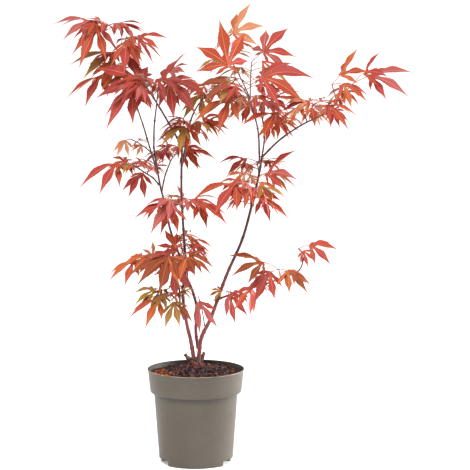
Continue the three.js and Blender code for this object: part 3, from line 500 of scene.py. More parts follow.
def place_leaf(mass, foot, aim, taken, tries, room, stalk_room, own_room):
    """Draws one leaf on its petiole, turning it further at each try until nothing is touched"""
    heading, rise, lean, length = aim
    chance = mass["chance"]
    for attempt in range(tries):
        wander = DRAW["wander"] * attempt
        turn = heading + (next(chance) - 0.5) * wander
        lift = rise + (next(chance) - 0.5) * wander
        droop = LEAF["droop"] * share(DRAW["droop"], chance)
        size = length * (1 - DRAW["shrink"] * attempt)
        sagging = math.degrees(math.atan(droop)) * math.cos(math.radians(lift))
        stalk = size * LEAF["petiole"] * (share(DRAW["stalk"], chance) if attempt else 1)
        leaf = {"length": size, "droop": droop, **blade_axes(turn, lift + sagging, lean)}
        leaf["heart"] = foot + direction(turn, petiole_rise(lift)) * stalk
        leaf["lobes"] = draw_lobes(leaf, chance)
        leaf["petiole"] = petiole_curve(foot, leaf)
        blade, stalk_points = blade_points(leaf), leaf["petiole"].sampled(ROOM["curve_step"])
        if not mass["holds"](blade) or taken.touches(blade, mass["name"], room, own_room):
            continue
        if taken.touches(stalk_points, mass["name"], stalk_room, -ROOM["most"]):
            continue
        taken.add(blade, mass["name"], 0)
        taken.add(stalk_points, mass["name"], PETIOLE["radius"][0])
        return leaf
    return None


def plan_mass(row, index, limbs, taken):
    """A mass's shoot, and the leaves it asks for: those at its end, then pairs further down"""
    chance = seeded(index + 1)
    heading, rise, _, length = row["leads"][0]
    end = np.array(row["heart"], float) - direction(heading, petiole_rise(rise)) * length * LEAF["petiole"]
    limb = limbs[row["from"]]
    bend = arched_bend(limb["curve"].at(row["at"]), end, TWIG)
    root = root_on(limb, row["at"], bend, TWIG["radius"][0])
    shoot = Curve([root, bend, end], bezier)
    taken.add(shoot.sampled(ROOM["curve_step"]), row["name"], TWIG["radius"][0])
    square = math.degrees(math.atan2(end[1] - root[1], end[0] - root[0])) + 90
    leads = [(end, aim) for aim in row["leads"]]
    pairs = []
    for i in range(row["more"]):
        pair = i // 2
        around = square + i % 2 * 180 + pair * PAIRS["turn"] + (next(chance) - 0.5) * DRAW["pair_turn"]
        size = length * share(DRAW["pair_size"], chance)
        lift = (next(chance) - 0.5) * DRAW["pair_rise"]
        aim = (around, lift, (next(chance) - 0.5) * DRAW["pair_lean"], size)
        pairs.append((shoot.at(PAIRS["first"] - PAIRS["spacing"] * pair), aim))
    return {
        "name": row["name"], "tint": row["tint"], "more": row["more"], "index": index, "shoot": shoot,
        "chance": chance, "square": square, "leads": leads, "pairs": pairs, "leaves": [], "twigs": [],
        "holds": lambda blade: np.linalg.norm(blade - end, axis=1).max() < ROOM["reach"],
    }


def add_leaves(mass, wanted, taken):
    """Gives a mass those of the wanted leaves that find room"""
    for foot, aim in wanted:
        rooms = (ROOM["leaf"], ROOM["stalk"], ROOM["own_leaf"])
        leaf = place_leaf(mass, foot, aim, taken, DRAW["tries"], *rooms)
        if leaf:
            mass["leaves"].append(leaf)


def add_young(mass, taken):
    """Side twigs with a pair of young leaves each, within the box that the mass already fills"""
    low, high = (np.array(corner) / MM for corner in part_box(mass["name"]))
    low, high = low - YOUNG["past_box"], high + YOUNG["past_box"]
    mass["holds"] = lambda blade: bool(np.all(blade > low) and np.all(blade < high))
    mass["chance"] = chance = seeded(YOUNG["seed"] + mass["index"])
    for i in range(1 + YOUNG["twigs"] * mass["more"]):
        place = YOUNG["from"] + YOUNG["spacing"] * (i // 2)
        around = mass["square"] + i % 2 * 180 + (i // 2) * PAIRS["turn"] + share(YOUNG["turn"], chance)
        foot = mass["shoot"].at(place)
        tip = foot + direction(around, share(YOUNG["lift"], chance)) * share(YOUNG["length"], chance)
        leaves = []
        for side in (-1, 1):
            rise, roll = share(YOUNG["rise"], chance), share(YOUNG["roll"], chance)
            aim = (around + side * YOUNG["spread"], rise, roll, share(YOUNG["leaf"], chance))
            rooms = (YOUNG["leaf_room"], YOUNG["stalk_room"], YOUNG["own_room"])
            leaves.append(place_leaf(mass, tip, aim, taken, YOUNG["tries"], *rooms))
        leaves = [leaf for leaf in leaves if leaf]
        if leaves:
            mass["twigs"].append({"foot": foot, "tip": tip, "leaves": leaves})


def grow_plant():
    """The limbs and the masses: leaves at the shoots' ends first, then pairs of leaves, then young leaves"""
    limbs, taken = grow_limbs(), Taken()
    for name, limb in limbs.items():
        room = limb["radius"][0] + ROOM["limb"] - ROOM["leaf"]
        taken.add(limb["curve"].sampled(ROOM["curve_step"]), name, room)
    masses = [plan_mass(row, index, limbs, taken) for index, row in enumerate(MASSES)]
    for mass in masses:
        add_leaves(mass, mass["leads"], taken)
    for mass in masses:
        add_leaves(mass, mass["pairs"], taken)
    for mass in masses:
        add_young(mass, taken)
    return limbs, masses


# Making pieces

class Skin:
    """Points and faces of one piece that is worked out in code, with a paint number for each face"""

    def __init__(self):
        self.points, self.faces, self.paints = [], [], []

    def add(self, points, faces, paints=None):
        """Adds points, the faces between them and a paint number for each face, or else the first paint"""
        start = len(self.points)
        self.points.extend(points)
        self.faces.extend([tuple(start + corner for corner in face) for face in faces])
        self.paints.extend(paints or [0] * len(faces))


def shown(name, data):
    """A new object of the scene that shows this mesh or curve"""
    piece = bpy.data.objects.new(name, data)
    bpy.context.scene.collection.objects.link(piece)
    return piece


def made(name, skin):
    """A new object with the points and faces of a skin"""
    mesh = bpy.data.meshes.new(name)
    mesh.from_pydata([tuple(point * MM) for point in np.array(skin.points)], [], skin.faces)
    mesh.polygons.foreach_set("material_index", skin.paints)
    mesh.update()
    return shown(name, mesh)


def choose(*pieces):
    """Selects these pieces and nothing else"""
    bpy.ops.object.select_all(action="DESELECT")
    for piece in pieces:
        piece.select_set(True)
    bpy.context.view_layer.objects.active = pieces[0]


def apply(piece, kind, **settings):
    """Adds a modifier with these settings and applies it"""
    choose(piece)
    modifier = piece.modifiers.new(kind.lower(), kind)
    for setting, value in settings.items():
        setattr(modifier, setting, value)
    bpy.ops.object.modifier_apply(modifier=modifier.name)


def joined(name, pieces):
    """These pieces as one, under this name"""
    choose(*pieces)
    bpy.ops.object.join()
    whole = bpy.context.view_layer.objects.active
    whole.name = name
    return whole


def smooth(piece, angle=180):
    """Shades a piece smooth, with creases where its faces meet at more than the angle"""
    choose(piece)
    if angle < 180:
        bpy.ops.object.shade_smooth_by_angle(angle=math.radians(angle))
    else:
        bpy.ops.object.shade_smooth()


def finish_piece(piece, slot, materials, replaced=()):
    """Gives a finished piece its materials and its place in the object"""
    # Clearing the materials also resets the faces' paint numbers, so a piece without any is left alone
    if piece.data.materials:
        piece.data.materials.clear()
    for material in materials:
        piece.data.materials.append(material)
    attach(piece, "root")
    if replaced:
        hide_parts(*replaced)


def relief(name, size):
    """A cloudy height pattern with lumps of this size, in millimetres"""
    pattern = bpy.data.textures.new(name, "CLOUDS")
    pattern.noise_scale = size * MM
    pattern.noise_depth = 3
    return pattern


def displace(piece, name, size, height):
    """Raises a piece's skin by a cloudy relief"""
    apply(piece, "DISPLACE", texture=relief(name, size), strength=height * MM, mid_level=0.5,
          texture_coords="LOCAL")


# Leaves and twigs

def bands(rings, sides):
    """The faces between each ring of corners and the next"""
    starts = [ring * sides for ring in range(rings - 1)]
    edges = [(start + k, start + (k + 1) % sides) for start in starts for k in range(sides)]
    return [(a, b, b + sides, a + sides) for a, b in edges]


def pipe(skin, points, radii, sides):
    """A closed round twig through the points"""
    points = np.array(points)
    count = len(points)
    along = [unit(points[min(i + 1, count - 1)] - points[max(i - 1, 0)]) for i in range(count)]
    # The first direction to the side: one that no twig runs along
    across = np.array([0.3, 1.0, 0.2])
    corners = []
    for place, ahead, radius in zip(points, along, radii):
        across = unit(across - ahead * (across @ ahead))
        other = np.cross(ahead, across)
        for k in range(sides):
            angle = 2 * math.pi * k / sides
            corners.append(place + (across * math.cos(angle) + other * math.sin(angle)) * radius)
    ends = [tuple(reversed(range(sides))), tuple(range((count - 1) * sides, count * sides))]
    skin.add(corners, bands(count, sides) + ends)


def lobe_outline(length):
    """A lobe's half widths along its length: toothed where the lobe is large enough to show it"""
    if length < TEETH["lobe_over"]:
        return PLAIN_EDGE
    places, halves = zip(*EDGE)
    outline = [EDGE[0]]
    for tooth in np.linspace(TEETH["from"], TEETH["to"], TEETH["count"]):
        for place, stretch in ((tooth, 1 + TEETH["out"]), (tooth + TEETH["notch"], 1 - TEETH["out"])):
            outline.append((place, float(np.interp(place, places, halves)) * stretch))
    return [*outline, EDGE[-1]]


# The paints of a lobe's faces in order round it, from its right edge over the top to its left and back below
BLADE, RIB, UNDERSIDE = 0, 1, 2
ROUND_LOBE = (BLADE, RIB, BLADE, UNDERSIDE, RIB, UNDERSIDE)


def lobe_blade(skin, leaf, lobe, valleys):
    """One lobe as a thin closed blade, folded a little along its midrib: top, pale rib and underside"""
    thick = leaf["face"] * LEAF["half_thickness"]
    points = [leaf["heart"] + thick, leaf["heart"] - thick, lobe_edge(leaf, lobe, 1, 0)]
    top, low, tip = range(3)
    rows = [(top, top, top, top, low, low)]
    outline = lobe_outline(lobe["length"])
    for i, (along, half) in enumerate([(LEAF["valley"] * LEAF["past_valley"], 0), *outline]):
        middle = lobe_edge(leaf, lobe, along, 0)
        rib = lobe["across"] * LEAF["rib"] * lobe["length"] * (1 - along * LEAF["rib_taper"])
        raised = leaf["face"] * half * lobe["length"] * LEAF["crease"]
        right, left = (lobe_edge(leaf, lobe, along, aside) + raised for aside in (-half, half))
        if i == 0:
            right, left = valleys
        rows.append(tuple(range(len(points), len(points) + len(ROUND_LOBE))))
        points += [right, middle - rib + thick, middle + rib + thick,
                   left, middle + rib - thick, middle - rib - thick]
    rows.append([tip] * len(ROUND_LOBE))
    faces, paints = [], []
    for start, end in zip(rows, rows[1:]):
        for a, paint in enumerate(ROUND_LOBE):
            b = (a + 1) % len(ROUND_LOBE)
            corners = tuple(dict.fromkeys((end[b], end[a], start[a], start[b])))
            if len(corners) > 2:
                faces.append(corners)
                paints.append(paint)
    skin.add(points, faces, paints)


# The tints from which each leaf of a mass draws its own, by the mass's tint
NEIGHBOURS = {
    "crimson": "crimson red crimson red pink crimson pink olive",
    "red": "red red crimson pink orange red rust olive",
    "pink": "pink pink crimson pink maroon pink crimson red",
    "orange": "orange orange red orange orange peach red rust",
    "peach": "peach orange peach peach pink peach orange olive",
    "maroon": "maroon pink maroon rust olive pink crimson rust",
    "rust": "rust maroon red rust olive rust pink red",
    "olive": "olive green olive olive rust olive orange peach",
    "green": "green green olive orange rust green orange green",
}

# The second tint of a leaf, which a third of its lobes take
SISTERS = {
    "crimson": "red", "red": "crimson", "pink": "crimson", "orange": "red", "peach": "orange",
    "maroon": "crimson", "rust": "orange", "olive": "rust", "green": "olive",
}


def pick(choices, chance):
    return choices[int(next(chance) * len(choices))]


def lay_leaf(skins, stalks, leaf, mass_tint, chance, petiole_radius):
    """Adds one leaf's lobes to the pieces of their tints, and its petiole to the stalks"""
    tint = pick(NEIGHBOURS[mass_tint].split(), chance)
    petiole = leaf["petiole"].sampled(ROOM["curve_step"] * FINE["petiole_step"])
    radii = np.linspace(petiole_radius[0], petiole_radius[1], len(petiole))
    pipe(stalks, petiole, radii, FINE["sides"])
    lobes = leaf["lobes"]
    back = leaf["heart"] - leaf["ahead"] * leaf["length"] * LEAF["behind_heart"]
    valleys = [back + leaf["side"]]
    for lobe, after in zip(lobes, lobes[1:]):
        between = unit(lobe["out"] + after["out"])
        valleys.append(sagged(leaf, between, LEAF["valley"] * min(lobe["length"], after["length"])))
    valleys.append(back - leaf["side"])
    for i, lobe in enumerate(lobes):
        lobe_tint = pick((tint, tint, SISTERS[tint]), chance)
        lobe_blade(skins[lobe_tint], leaf, lobe, (valleys[i + 1], valleys[i]))


def make_foliage(masses, paints):
    """All leaves, a piece for each tint, the petioles and the twigs, and the places of the twigs' buds"""
    skins = {tint: Skin() for tint in TINTS}
    stalks, twigs, buds = Skin(), Skin(), []
    for mass in masses:
        chance = seeded(FINE["seed"] + mass["index"])
        shoot = mass["shoot"].sampled(ROOM["curve_step"])
        into = shoot[0] - unit(shoot[1] - shoot[0]) * (SEAT + FINE["sunk"])
        radii = [taper(TWIG["radius"], i / len(shoot)) for i in range(len(shoot) + 1)]
        radii[0] *= FINE["swell"][0]
        radii[1] *= FINE["swell"][1]
        pipe(twigs, [into, *shoot], radii, FINE["shoot_sides"])
        for leaf in mass["leaves"]:
            lay_leaf(skins, stalks, leaf, mass["tint"], chance, FINE["petiole"])
        for twig in mass["twigs"]:
            bend = (twig["foot"] + twig["tip"]) / 2 - UP * FINE["twig_sag"]
            pipe(twigs, [twig["foot"], bend, twig["tip"]], FINE["twig"], FINE["sides"])
            buds.append((twig["tip"], unit(twig["tip"] - twig["foot"])))
            for leaf in twig["leaves"]:
                lay_leaf(skins, stalks, leaf, mass["tint"], chance, FINE["young_petiole"])
        buds.append((shoot[-1], unit(shoot[-1] - shoot[-2])))
    for tint, skin in skins.items():
        piece = made("leaves_" + tint, skin)
        replaced = [mass["name"] for mass in masses if mass["tint"] == tint]
        finish_piece(piece, "leaf_" + tint, paints[tint], replaced)
    for name, skin in (("petioles", stalks), ("twigs", twigs)):
        piece = made(name, skin)
        smooth(piece, angle=60)
        finish_piece(piece, "bough_bark", [paints[name]])
    return buds


# Limbs, root crown and buds

def tube(name, points, radii):
    """A round limb laid along its curve and turned into a mesh"""
    line = bpy.data.curves.new(name, "CURVE")
    line.dimensions = "3D"
    line.bevel_depth = 1
    line.bevel_resolution = 3
    line.use_fill_caps = True
    spline = line.splines.new("POLY")
    spline.points.add(len(points) - 1)
    for place, point, radius in zip(spline.points, points, radii):
        place.co = (*(point * MM), 1)
        place.radius = radius * MM
    limb = shown(name, line)
    choose(limb)
    bpy.ops.object.convert(target="MESH")
    return bpy.context.view_layer.objects.active


def limb_run(limb, kind):
    """A limb's points and radii, and the swollen joints on it where pairs of leaves once stood"""
    curve, radius = limb["curve"], limb["radius"]
    points = curve.sampled(BARK["ring_step"])
    lengths = np.append(0, np.cumsum(np.linalg.norm(np.diff(points, axis=0), axis=1)))
    radii = np.array([taper(radius, i / (len(points) - 1)) for i in range(len(points))])
    joints = np.arange(BARK["first_joint"], lengths[-1] - BARK["last_joint"], BARK["joint_spacing"])
    for joint in joints:
        radii *= 1 + BARK["joint_swell"] * np.exp(-((lengths - joint) / BARK["joint_length"]) ** 2)
    into = points[0] - unit(points[1] - points[0]) * (SEAT + radius[0] * BARK["sunk"])
    flare = BARK["flare"][kind]
    radii = np.append(radii[0] * flare, radii)
    radii[1] *= (1 + flare) / 2
    places = [(curve.at(joint / lengths[-1]), joint / lengths[-1]) for joint in joints]
    return [into, *points], radii, places


def make_limbs(limbs, paints):
    """The stems and boughs with their bark, and the places of the buds on them"""
    buds = []
    for kind, slot in (("stem", "stem_bark"), ("bough", "bough_bark")):
        chosen = {name: limb for name, limb in limbs.items() if name.startswith(kind)}
        pieces = []
        for name, limb in chosen.items():
            points, radii, places = limb_run(limb, kind)
            piece = tube(name + "_bark", points, radii)
            displace(piece, name + "_lumps", *BARK["lumps"])
            displace(piece, name + "_grain", *BARK["grain"])
            pieces.append(piece)
            for i, (place, t) in enumerate(places):
                along = limb["curve"].tangent(t)
                aside = unit(np.cross(along, direction(PAIRS["turn"] * i + BARK["first_bud"], 0)))
                for side in (aside, -aside):
                    foot = place + side * taper(limb["radius"], t)
                    buds.append((foot, unit(side * BARK["bud_lean"] + along)))
        whole = joined(kind + "s", pieces)
        smooth(whole)
        finish_piece(whole, slot, [paints[kind]], chosen)
    return buds


def make_buds(buds, paint):
    """Small pointed buds, a pair at each old joint and one at each twig's end"""
    heights, radii = zip(*BUD["outline"])
    skin = Skin()
    for place, along in buds:
        points = [place + along * (height * BUD["stretch"] - BUD["sunk"]) for height in heights]
        pipe(skin, points, radii, FINE["sides"])
    piece = made("buds", skin)
    smooth(piece)
    finish_piece(piece, "old_bark", [paint])


def make_crown(paints):
    """The gnarled root crown, from a merged copy of its solid, and the pale cut ends of its stubs"""
    crown = shown("crown_bark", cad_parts["root_crown"].data.copy())
    choose(crown)
    bpy.ops.object.mode_set(mode="EDIT")
    bpy.ops.mesh.select_all(action="SELECT")
    bpy.ops.mesh.remove_doubles(threshold=CROWN["merge"] * MM)
    bpy.ops.object.mode_set(mode="OBJECT")
    apply(crown, "REMESH", mode="VOXEL", voxel_size=CROWN["skin_step"] * MM, use_smooth_shade=True)
    apply(crown, "SMOOTH", factor=0.5, iterations=CROWN["smoothing"])
    displace(crown, "crown_lumps", *CROWN["lumps"])
    displace(crown, "crown_grain", *CROWN["grain"])
    smooth(crown)
    finish_piece(crown, "old_bark", [paints["crown"]], ["root_crown"])
    ends = []
    for foot, tip, radius in STUBS:
        along = unit(np.array(tip, float) - foot)
        turn = Vector(along).to_track_quat("Z", "Y").to_euler()
        choose(crown)
        radius, depth = radius - CROWN["end_inset"], CROWN["end_depth"]
        place = (tip - along * CROWN["end_back"]) * MM
        bpy.ops.mesh.primitive_cylinder_add(vertices=CROWN["end_steps"], radius=radius * MM,
                                            depth=depth * MM, location=place, rotation=turn)
        end = bpy.context.view_layer.objects.active
        apply(end, "BEVEL", width=CROWN["end_round"] * MM, segments=2, limit_method="ANGLE")
        displace(end, "cut_end", *CROWN["end_relief"])
        bpy.ops.object.transform_apply(location=True, rotation=True, scale=True)
        ends.append(end)
    whole = joined("stub_ends", ends)
    smooth(whole, angle=40)
    finish_piece(whole, "old_bark", [paints["cut_wood"]])


# Pot

def rounded(corners, radii, steps=5):
    """An outline with each corner cut back by its radius and turned on a curve"""
    corners = [np.array(corner, float) for corner in corners]
    outline = []
    for i, (corner, radius) in enumerate(zip(corners, radii)):
        if not radius:
            outline.append(corner)
            continue
        start = corner + unit(corners[i - 1] - corner) * radius
        end = corner + unit(corners[i + 1] - corner) * radius
        outline.extend(bezier((start, corner, end), k / steps) for k in range(steps + 1))
    return outline


def spun(name, outline, steps):
    """A closed shape of revolution about the Z axis from an outline that starts and ends on it"""
    mesh = bpy.data.meshes.new(name)
    chain = [(radius * MM, 0, height * MM) for radius, height in outline]
    mesh.from_pydata(chain, [(i, i + 1) for i in range(len(chain) - 1)], [])
    piece = shown(name, mesh)
    choose(piece)
    bpy.ops.object.mode_set(mode="EDIT")
    bpy.ops.mesh.select_all(action="SELECT")
    bpy.ops.mesh.spin(steps=steps, angle=2 * math.pi, center=(0, 0, 0), axis=(0, 0, 1))
    bpy.ops.mesh.select_all(action="SELECT")
    bpy.ops.mesh.remove_doubles(threshold=POT["merge"] * MM)
    bpy.ops.mesh.normals_make_consistent(inside=False)
    bpy.ops.object.mode_set(mode="OBJECT")
    return piece


def wall_radius(height):
    """The tapering wall's outer radius at a height"""
    return POT["foot_radius"] + (POT["neck_radius"] - POT["foot_radius"]) * height / NECK


def pot_outline():
    """The pot's wall from the middle of its underside, round the lip and back along the inside. Each corner
    stands with the length that its rounding takes off."""
    wall, channel, step = POT["wall"], POT["channel_height"], POT["step_height"]
    channel_top = channel + POT["floor_thickness"]
    rim, lip_foot = POT["rim_radius"], POT["height"] - POT["lip_height"]
    corners = [
        ((0, 0), 0),
        ((POT["floor_radius"], 0), 0.8),
        ((POT["floor_radius"] + wall, channel), 0.8),
        ((wall_radius(channel) - wall, channel), 0.6),
        ((POT["foot_radius"] - wall, 0), 0.5),
        ((POT["foot_radius"], 0), 0.7),
        ((POT["neck_radius"], NECK), 0.8),
        ((POT["collar_radius"] - POT["collar_tuck"], NECK), 1.6),
        ((POT["collar_radius"] + POT["collar_bulge"], NECK + step * POT["step_end"]), 1.6),
        ((rim - POT["lip_inset"], lip_foot), 0.5),
        ((rim, lip_foot + POT["lip_height"] * POT["lip_slope"]), 0.4),
        ((rim, POT["height"]), 0.7),
        ((rim - wall, POT["height"]), 0.7),
        ((POT["collar_radius"] - wall, NECK + step + wall), 1.5),
        ((POT["neck_radius"] - wall, NECK + step), 1.2),
        ((wall_radius(channel_top) - wall, channel_top), 0.8),
        ((POT["floor_radius"], channel_top), 0.8),
        ((POT["floor_radius"] - wall, POT["floor_thickness"]), 0.8),
        ((0, POT["floor_thickness"]), 0),
    ]
    return rounded(*zip(*corners))


def combine(piece, operation, other):
    """Cuts the other piece out of this one, or grows it on, and takes the other away"""
    apply(piece, "BOOLEAN", operation=operation, solver="EXACT", object=other)
    bpy.data.objects.remove(other)


def notch(middle):
    """The part of the foot ring that is cut away at one side"""
    half = math.radians(POT["notch_angle"] / 2)
    inner, outer = POT["notch_inner"], POT["rim_radius"]
    arc = np.linspace(middle - half, middle + half, POT["notch_steps"] + 1)
    rim = [(outer, angle) for angle in arc] + [(inner, angle) for angle in reversed(arc)]
    low, high = -POT["notch_below"], POT["channel_height"]
    count = len(rim)
    skin = Skin()
    points = [(r * math.cos(a), r * math.sin(a), z) for z in (low, high) for r, a in rim]
    ends = [tuple(reversed(range(count))), tuple(range(count, 2 * count))]
    skin.add(points, ends + bands(2, count))
    return made("notch", skin)


def stud(middle):
    """The rounded stud that stands in the middle of the cut-away part"""
    height = POT["channel_height"] + POT["floor_thickness"] / 2
    radius = POT["stud_radius"]
    outline = rounded([(0, 0), (radius, 0), (radius, height), (0, height)], [0, POT["stud_round"], 0, 0])
    piece = spun("stud", outline, POT["stud_steps"])
    piece.location = Vector((math.cos(middle), math.sin(middle), 0)) * POT["stud_circle"] * MM
    return piece


def make_pot(paints):
    """The pot in one closed piece: its first paint outside, and its second on the inside of the collar"""
    pot = spun("nursery_pot", pot_outline(), POT["steps"])
    for middle in (0, math.pi):
        combine(pot, "DIFFERENCE", notch(middle))
        combine(pot, "UNION", stud(middle))
    for i in range(POT["drain_holes"]):
        around = (i + 0.5) / POT["drain_holes"] * 2 * math.pi
        place = np.array([math.cos(around), math.sin(around), 0]) * POT["drain_circle"]
        place[2] = POT["channel_height"]
        choose(pot)
        bpy.ops.mesh.primitive_cylinder_add(vertices=POT["drain_steps"], radius=POT["drain_radius"] * MM,
                                            depth=POT["drain_cut"] * MM, location=place * MM)
        combine(pot, "DIFFERENCE", bpy.context.view_layer.objects.active)
    smooth(pot, POT["crease_angle"])
    finish_piece(pot, "pot_plastic", paints, ["pot"])
    # The faces inside the collar take the darker second paint, which stands in for the shade inside the pot
    for face in pot.data.polygons:
        inward = face.normal.x * face.center.x + face.normal.y * face.center.y < 0
        if inward and face.center.z > NECK * MM:
            face.material_index = 1


# Compost

def heap(x, y):
    """The height of the compost's surface, with its hollow and its lumps"""
    radius = math.hypot(x, y)
    top = SOIL["level"] - SOIL["under_crown"]
    marks = [0, SOIL["patch_radius"], SOIL["shoulder_radius"], SOIL["edge_radius"]]
    heights = [top, top, SOIL["shoulder_level"], SOIL["edge_level"]]
    height = float(np.interp(radius, marks, heights))
    lumps = noise.fractal(Vector((x, y, 0)) * SOIL["lump_scale"], *SOIL["fractal"]) * SOIL["lump_height"]
    (hollow_x, hollow_y), width, depth = SOIL["hollow"]
    height -= depth * math.exp(-((x - hollow_x) ** 2 + (y - hollow_y) ** 2) / width ** 2)
    return height + lumps * min(1, (SOIL["edge_radius"] - radius) / SOIL["edge_fade"] + SOIL["edge_lumps"])


def ring_of(radius, sectors):
    """The corners of a level ring round the Z axis, as (x, y)"""
    turns = [2 * math.pi * k / sectors for k in range(sectors)]
    return [(radius * math.cos(turn), radius * math.sin(turn)) for turn in turns]


def make_compost(paints):
    """The compost as one closed body with a crumbled top, and what lies on it"""
    rings, sectors = SOIL["rings"], SOIL["sectors"]
    points = [(0, 0, heap(0, 0))]
    for ring in range(1, rings + 1):
        points += [(x, y, heap(x, y)) for x, y in ring_of(SOIL["edge_radius"] * ring / rings, sectors)]
    inside, step = POT["wall"] + SOIL["clear"], NECK + POT["step_height"] + POT["wall"]
    floor = POT["channel_height"] + POT["floor_thickness"] + SEAT
    above, below, lift = SOIL["side"]
    sides = [(POT["collar_radius"] - inside, step + above), (POT["neck_radius"] - inside, step - below),
             (wall_radius(floor) - inside, floor + lift)]
    for radius, height in sides:
        points += [(x, y, height) for x, y in ring_of(radius, sectors)]
    points.append((0, 0, floor + lift))
    faces = [(0, 1 + k, 1 + (k + 1) % sectors) for k in range(sectors)]
    faces += [(1 + a, 1 + d, 1 + c, 1 + b) for a, b, c, d in bands(rings + len(sides), sectors)]
    last = len(points) - 1
    faces += [(last, last - sectors + (k + 1) % sectors, last - sectors + k) for k in range(sectors)]
    skin = Skin()
    skin.add(points, faces)
    soil = made("compost", skin)
    smooth(soil)
    finish_piece(soil, "compost", [paints["compost"]], ["soil"])
    for name, (paint, size, shape, patches) in LITTER.items():
        scatter(name, paints[paint], size, shape, patches)


def resting_places(patches, chance):
    """Places spread about the middle of each patch, all of them inside the pot"""
    places = []
    for count, middle, spread in patches:
        while count:
            place = np.array(middle) + np.array(spread) * chance.normal(size=2)
            if np.hypot(*place) < SOIL["edge_radius"] - LOOSE["from_edge"]:
                places.append(place)
                count -= 1
    return places


def scatter(name, paint, size, shape, patches):
    """Many small lumps, chips or fibres of one kind, lying half sunk in the compost round their patches"""
    ball = bmesh.new()
    bmesh.ops.create_icosphere(ball, subdivisions=1, radius=1)
    base = np.array([tuple(vertex.co) for vertex in ball.verts])
    faces = [tuple(vertex.index for vertex in face.verts) for face in ball.faces]
    ball.free()
    chance = np.random.default_rng(sum(map(ord, name)))
    skin = Skin()
    for x, y in resting_places(patches, chance):
        radius = size[0] + (size[1] - size[0]) * chance.random() ** 2
        uneven = 1 + LOOSE["uneven"] * (chance.random(len(base)) - 0.5)
        lump = base * uneven[:, None] * np.array(shape) * radius
        tilt = Vector((chance.normal() * LOOSE["tilt"], chance.normal() * LOOSE["tilt"], 1))
        spin = Matrix.Rotation(chance.random() * 2 * math.pi, 3, "Z")
        turned = np.array(tilt.to_track_quat("Z", "Y").to_matrix() @ spin)
        place = np.array([x, y, heap(x, y) + LOOSE["proud"] * radius])
        skin.add(list(lump @ turned.T + place), faces)
    finish_piece(made(name, skin), "compost", [paint])


# Materials

class Number:
    """A number that varies over a surface. Sums and products of it add the Math nodes."""

    def __init__(self, paint, socket):
        self.paint, self.socket = paint, socket

    def math(self, operation, other):
        second = other.socket if isinstance(other, Number) else other
        node = self.paint.node("ShaderNodeMath", {"operation": operation}, {0: self.socket, 1: second})
        return Number(self.paint, node.outputs[0])

    def __add__(self, other):
        return self.math("ADD", other)

    def __mul__(self, other):
        return self.math("MULTIPLY", other)


def rgb(code):
    """A colour as Blender wants it, linear, from its usual six-figure code"""
    values = [int(code[i:i + 2], 16) / 255 for i in (1, 3, 5)]
    linear = [value / 12.92 if value <= 0.04045 else ((value + 0.055) / 1.055) ** 2.4 for value in values]
    return [*linear, 1]


class Paint:
    """One material, built node by node on its Principled surface"""

    def __init__(self, name, colour, roughness, specular=0.5):
        self.material = bpy.data.materials.new(name)
        self.material.use_nodes = True
        self.tree = self.material.node_tree
        self.surface = self.tree.nodes["Principled BSDF"]
        self.surface.inputs["Base Color"].default_value = rgb(colour)
        self.surface.inputs["Roughness"].default_value = roughness
        self.surface.inputs["Specular IOR Level"].default_value = specular

    def node(self, kind, settings, inputs):
        """A node with its settings made first, and then its sockets set or linked"""
        node = self.tree.nodes.new(kind)
        for setting, value in settings.items():
            setattr(node, setting, value)
        for socket, value in inputs.items():
            if isinstance(value, bpy.types.NodeSocket):
                self.tree.links.new(value, node.inputs[socket])
            else:
                node.inputs[socket].default_value = value
        return node

    def place(self):
        """Where a point of the surface is, in the piece's own metres"""
        return self.node("ShaderNodeTexCoord", {}, {}).outputs["Object"]

    def noise(self, size, detail=3.0, stretch=(1, 1, 1)):
        """Cloudy noise with lumps of this size in millimetres, drawn out along an axis if wanted"""
        mapping = self.node("ShaderNodeMapping", {}, {"Vector": self.place(), "Scale": stretch})
        inputs = {"Vector": mapping.outputs[0], "Scale": 1 / (size * MM), "Detail": detail}
        return Number(self, self.node("ShaderNodeTexNoise", {}, inputs).outputs[0])

    def spots(self, size, low, high, **noise):
        """Soft-edged spots: 0 where the noise is under low and 1 where it is over high"""
        return self.between(self.noise(size, **noise), low, high)

    def ramp(self, number, stops):
        """Colours that follow a number, each stop as (number, colour)"""
        node = self.node("ShaderNodeValToRGB", {}, {"Fac": number.socket})
        elements = node.color_ramp.elements
        while len(elements) < len(stops):
            elements.new(0.5)
        for element, (place, colour) in zip(elements, stops):
            element.position, element.color = place, rgb(colour)
        return node.outputs[0]

    def mixed(self, number, low, high):
        """The colour low where the number is 0, high where it is 1, and a mixture between"""
        low, high = (rgb(colour) if isinstance(colour, str) else colour for colour in (low, high))
        inputs = {0: number.socket, 6: low, 7: high}
        return self.node("ShaderNodeMix", {"data_type": "RGBA"}, inputs).outputs[2]

    def height(self):
        """How high a point is, in metres above the pot's underside"""
        node = self.node("ShaderNodeSeparateXYZ", {}, {0: self.place()})
        return Number(self, node.outputs["Z"])

    def between(self, number, low, high):
        """The number as 0 at low and 1 at high, held there beyond them"""
        inputs = {"Value": number.socket, "From Min": low, "From Max": high}
        return Number(self, self.node("ShaderNodeMapRange", {"clamp": True}, inputs).outputs[0])

    def colour(self, socket):
        self.tree.links.new(socket, self.surface.inputs["Base Color"])

    def roughness(self, size, spread, least, detail=3.0):
        """An uneven sheen in clouds of this size"""
        number = self.noise(size, detail) * spread + least
        self.tree.links.new(number.socket, self.surface.inputs["Roughness"])

    def bump(self, number, depth, strength=1.0):
        """Raised detail of this depth in millimetres"""
        inputs = {"Height": number.socket, "Distance": depth * MM, "Strength": strength}
        bump = self.node("ShaderNodeBump", {}, inputs)
        self.tree.links.new(bump.outputs[0], self.surface.inputs["Normal"])
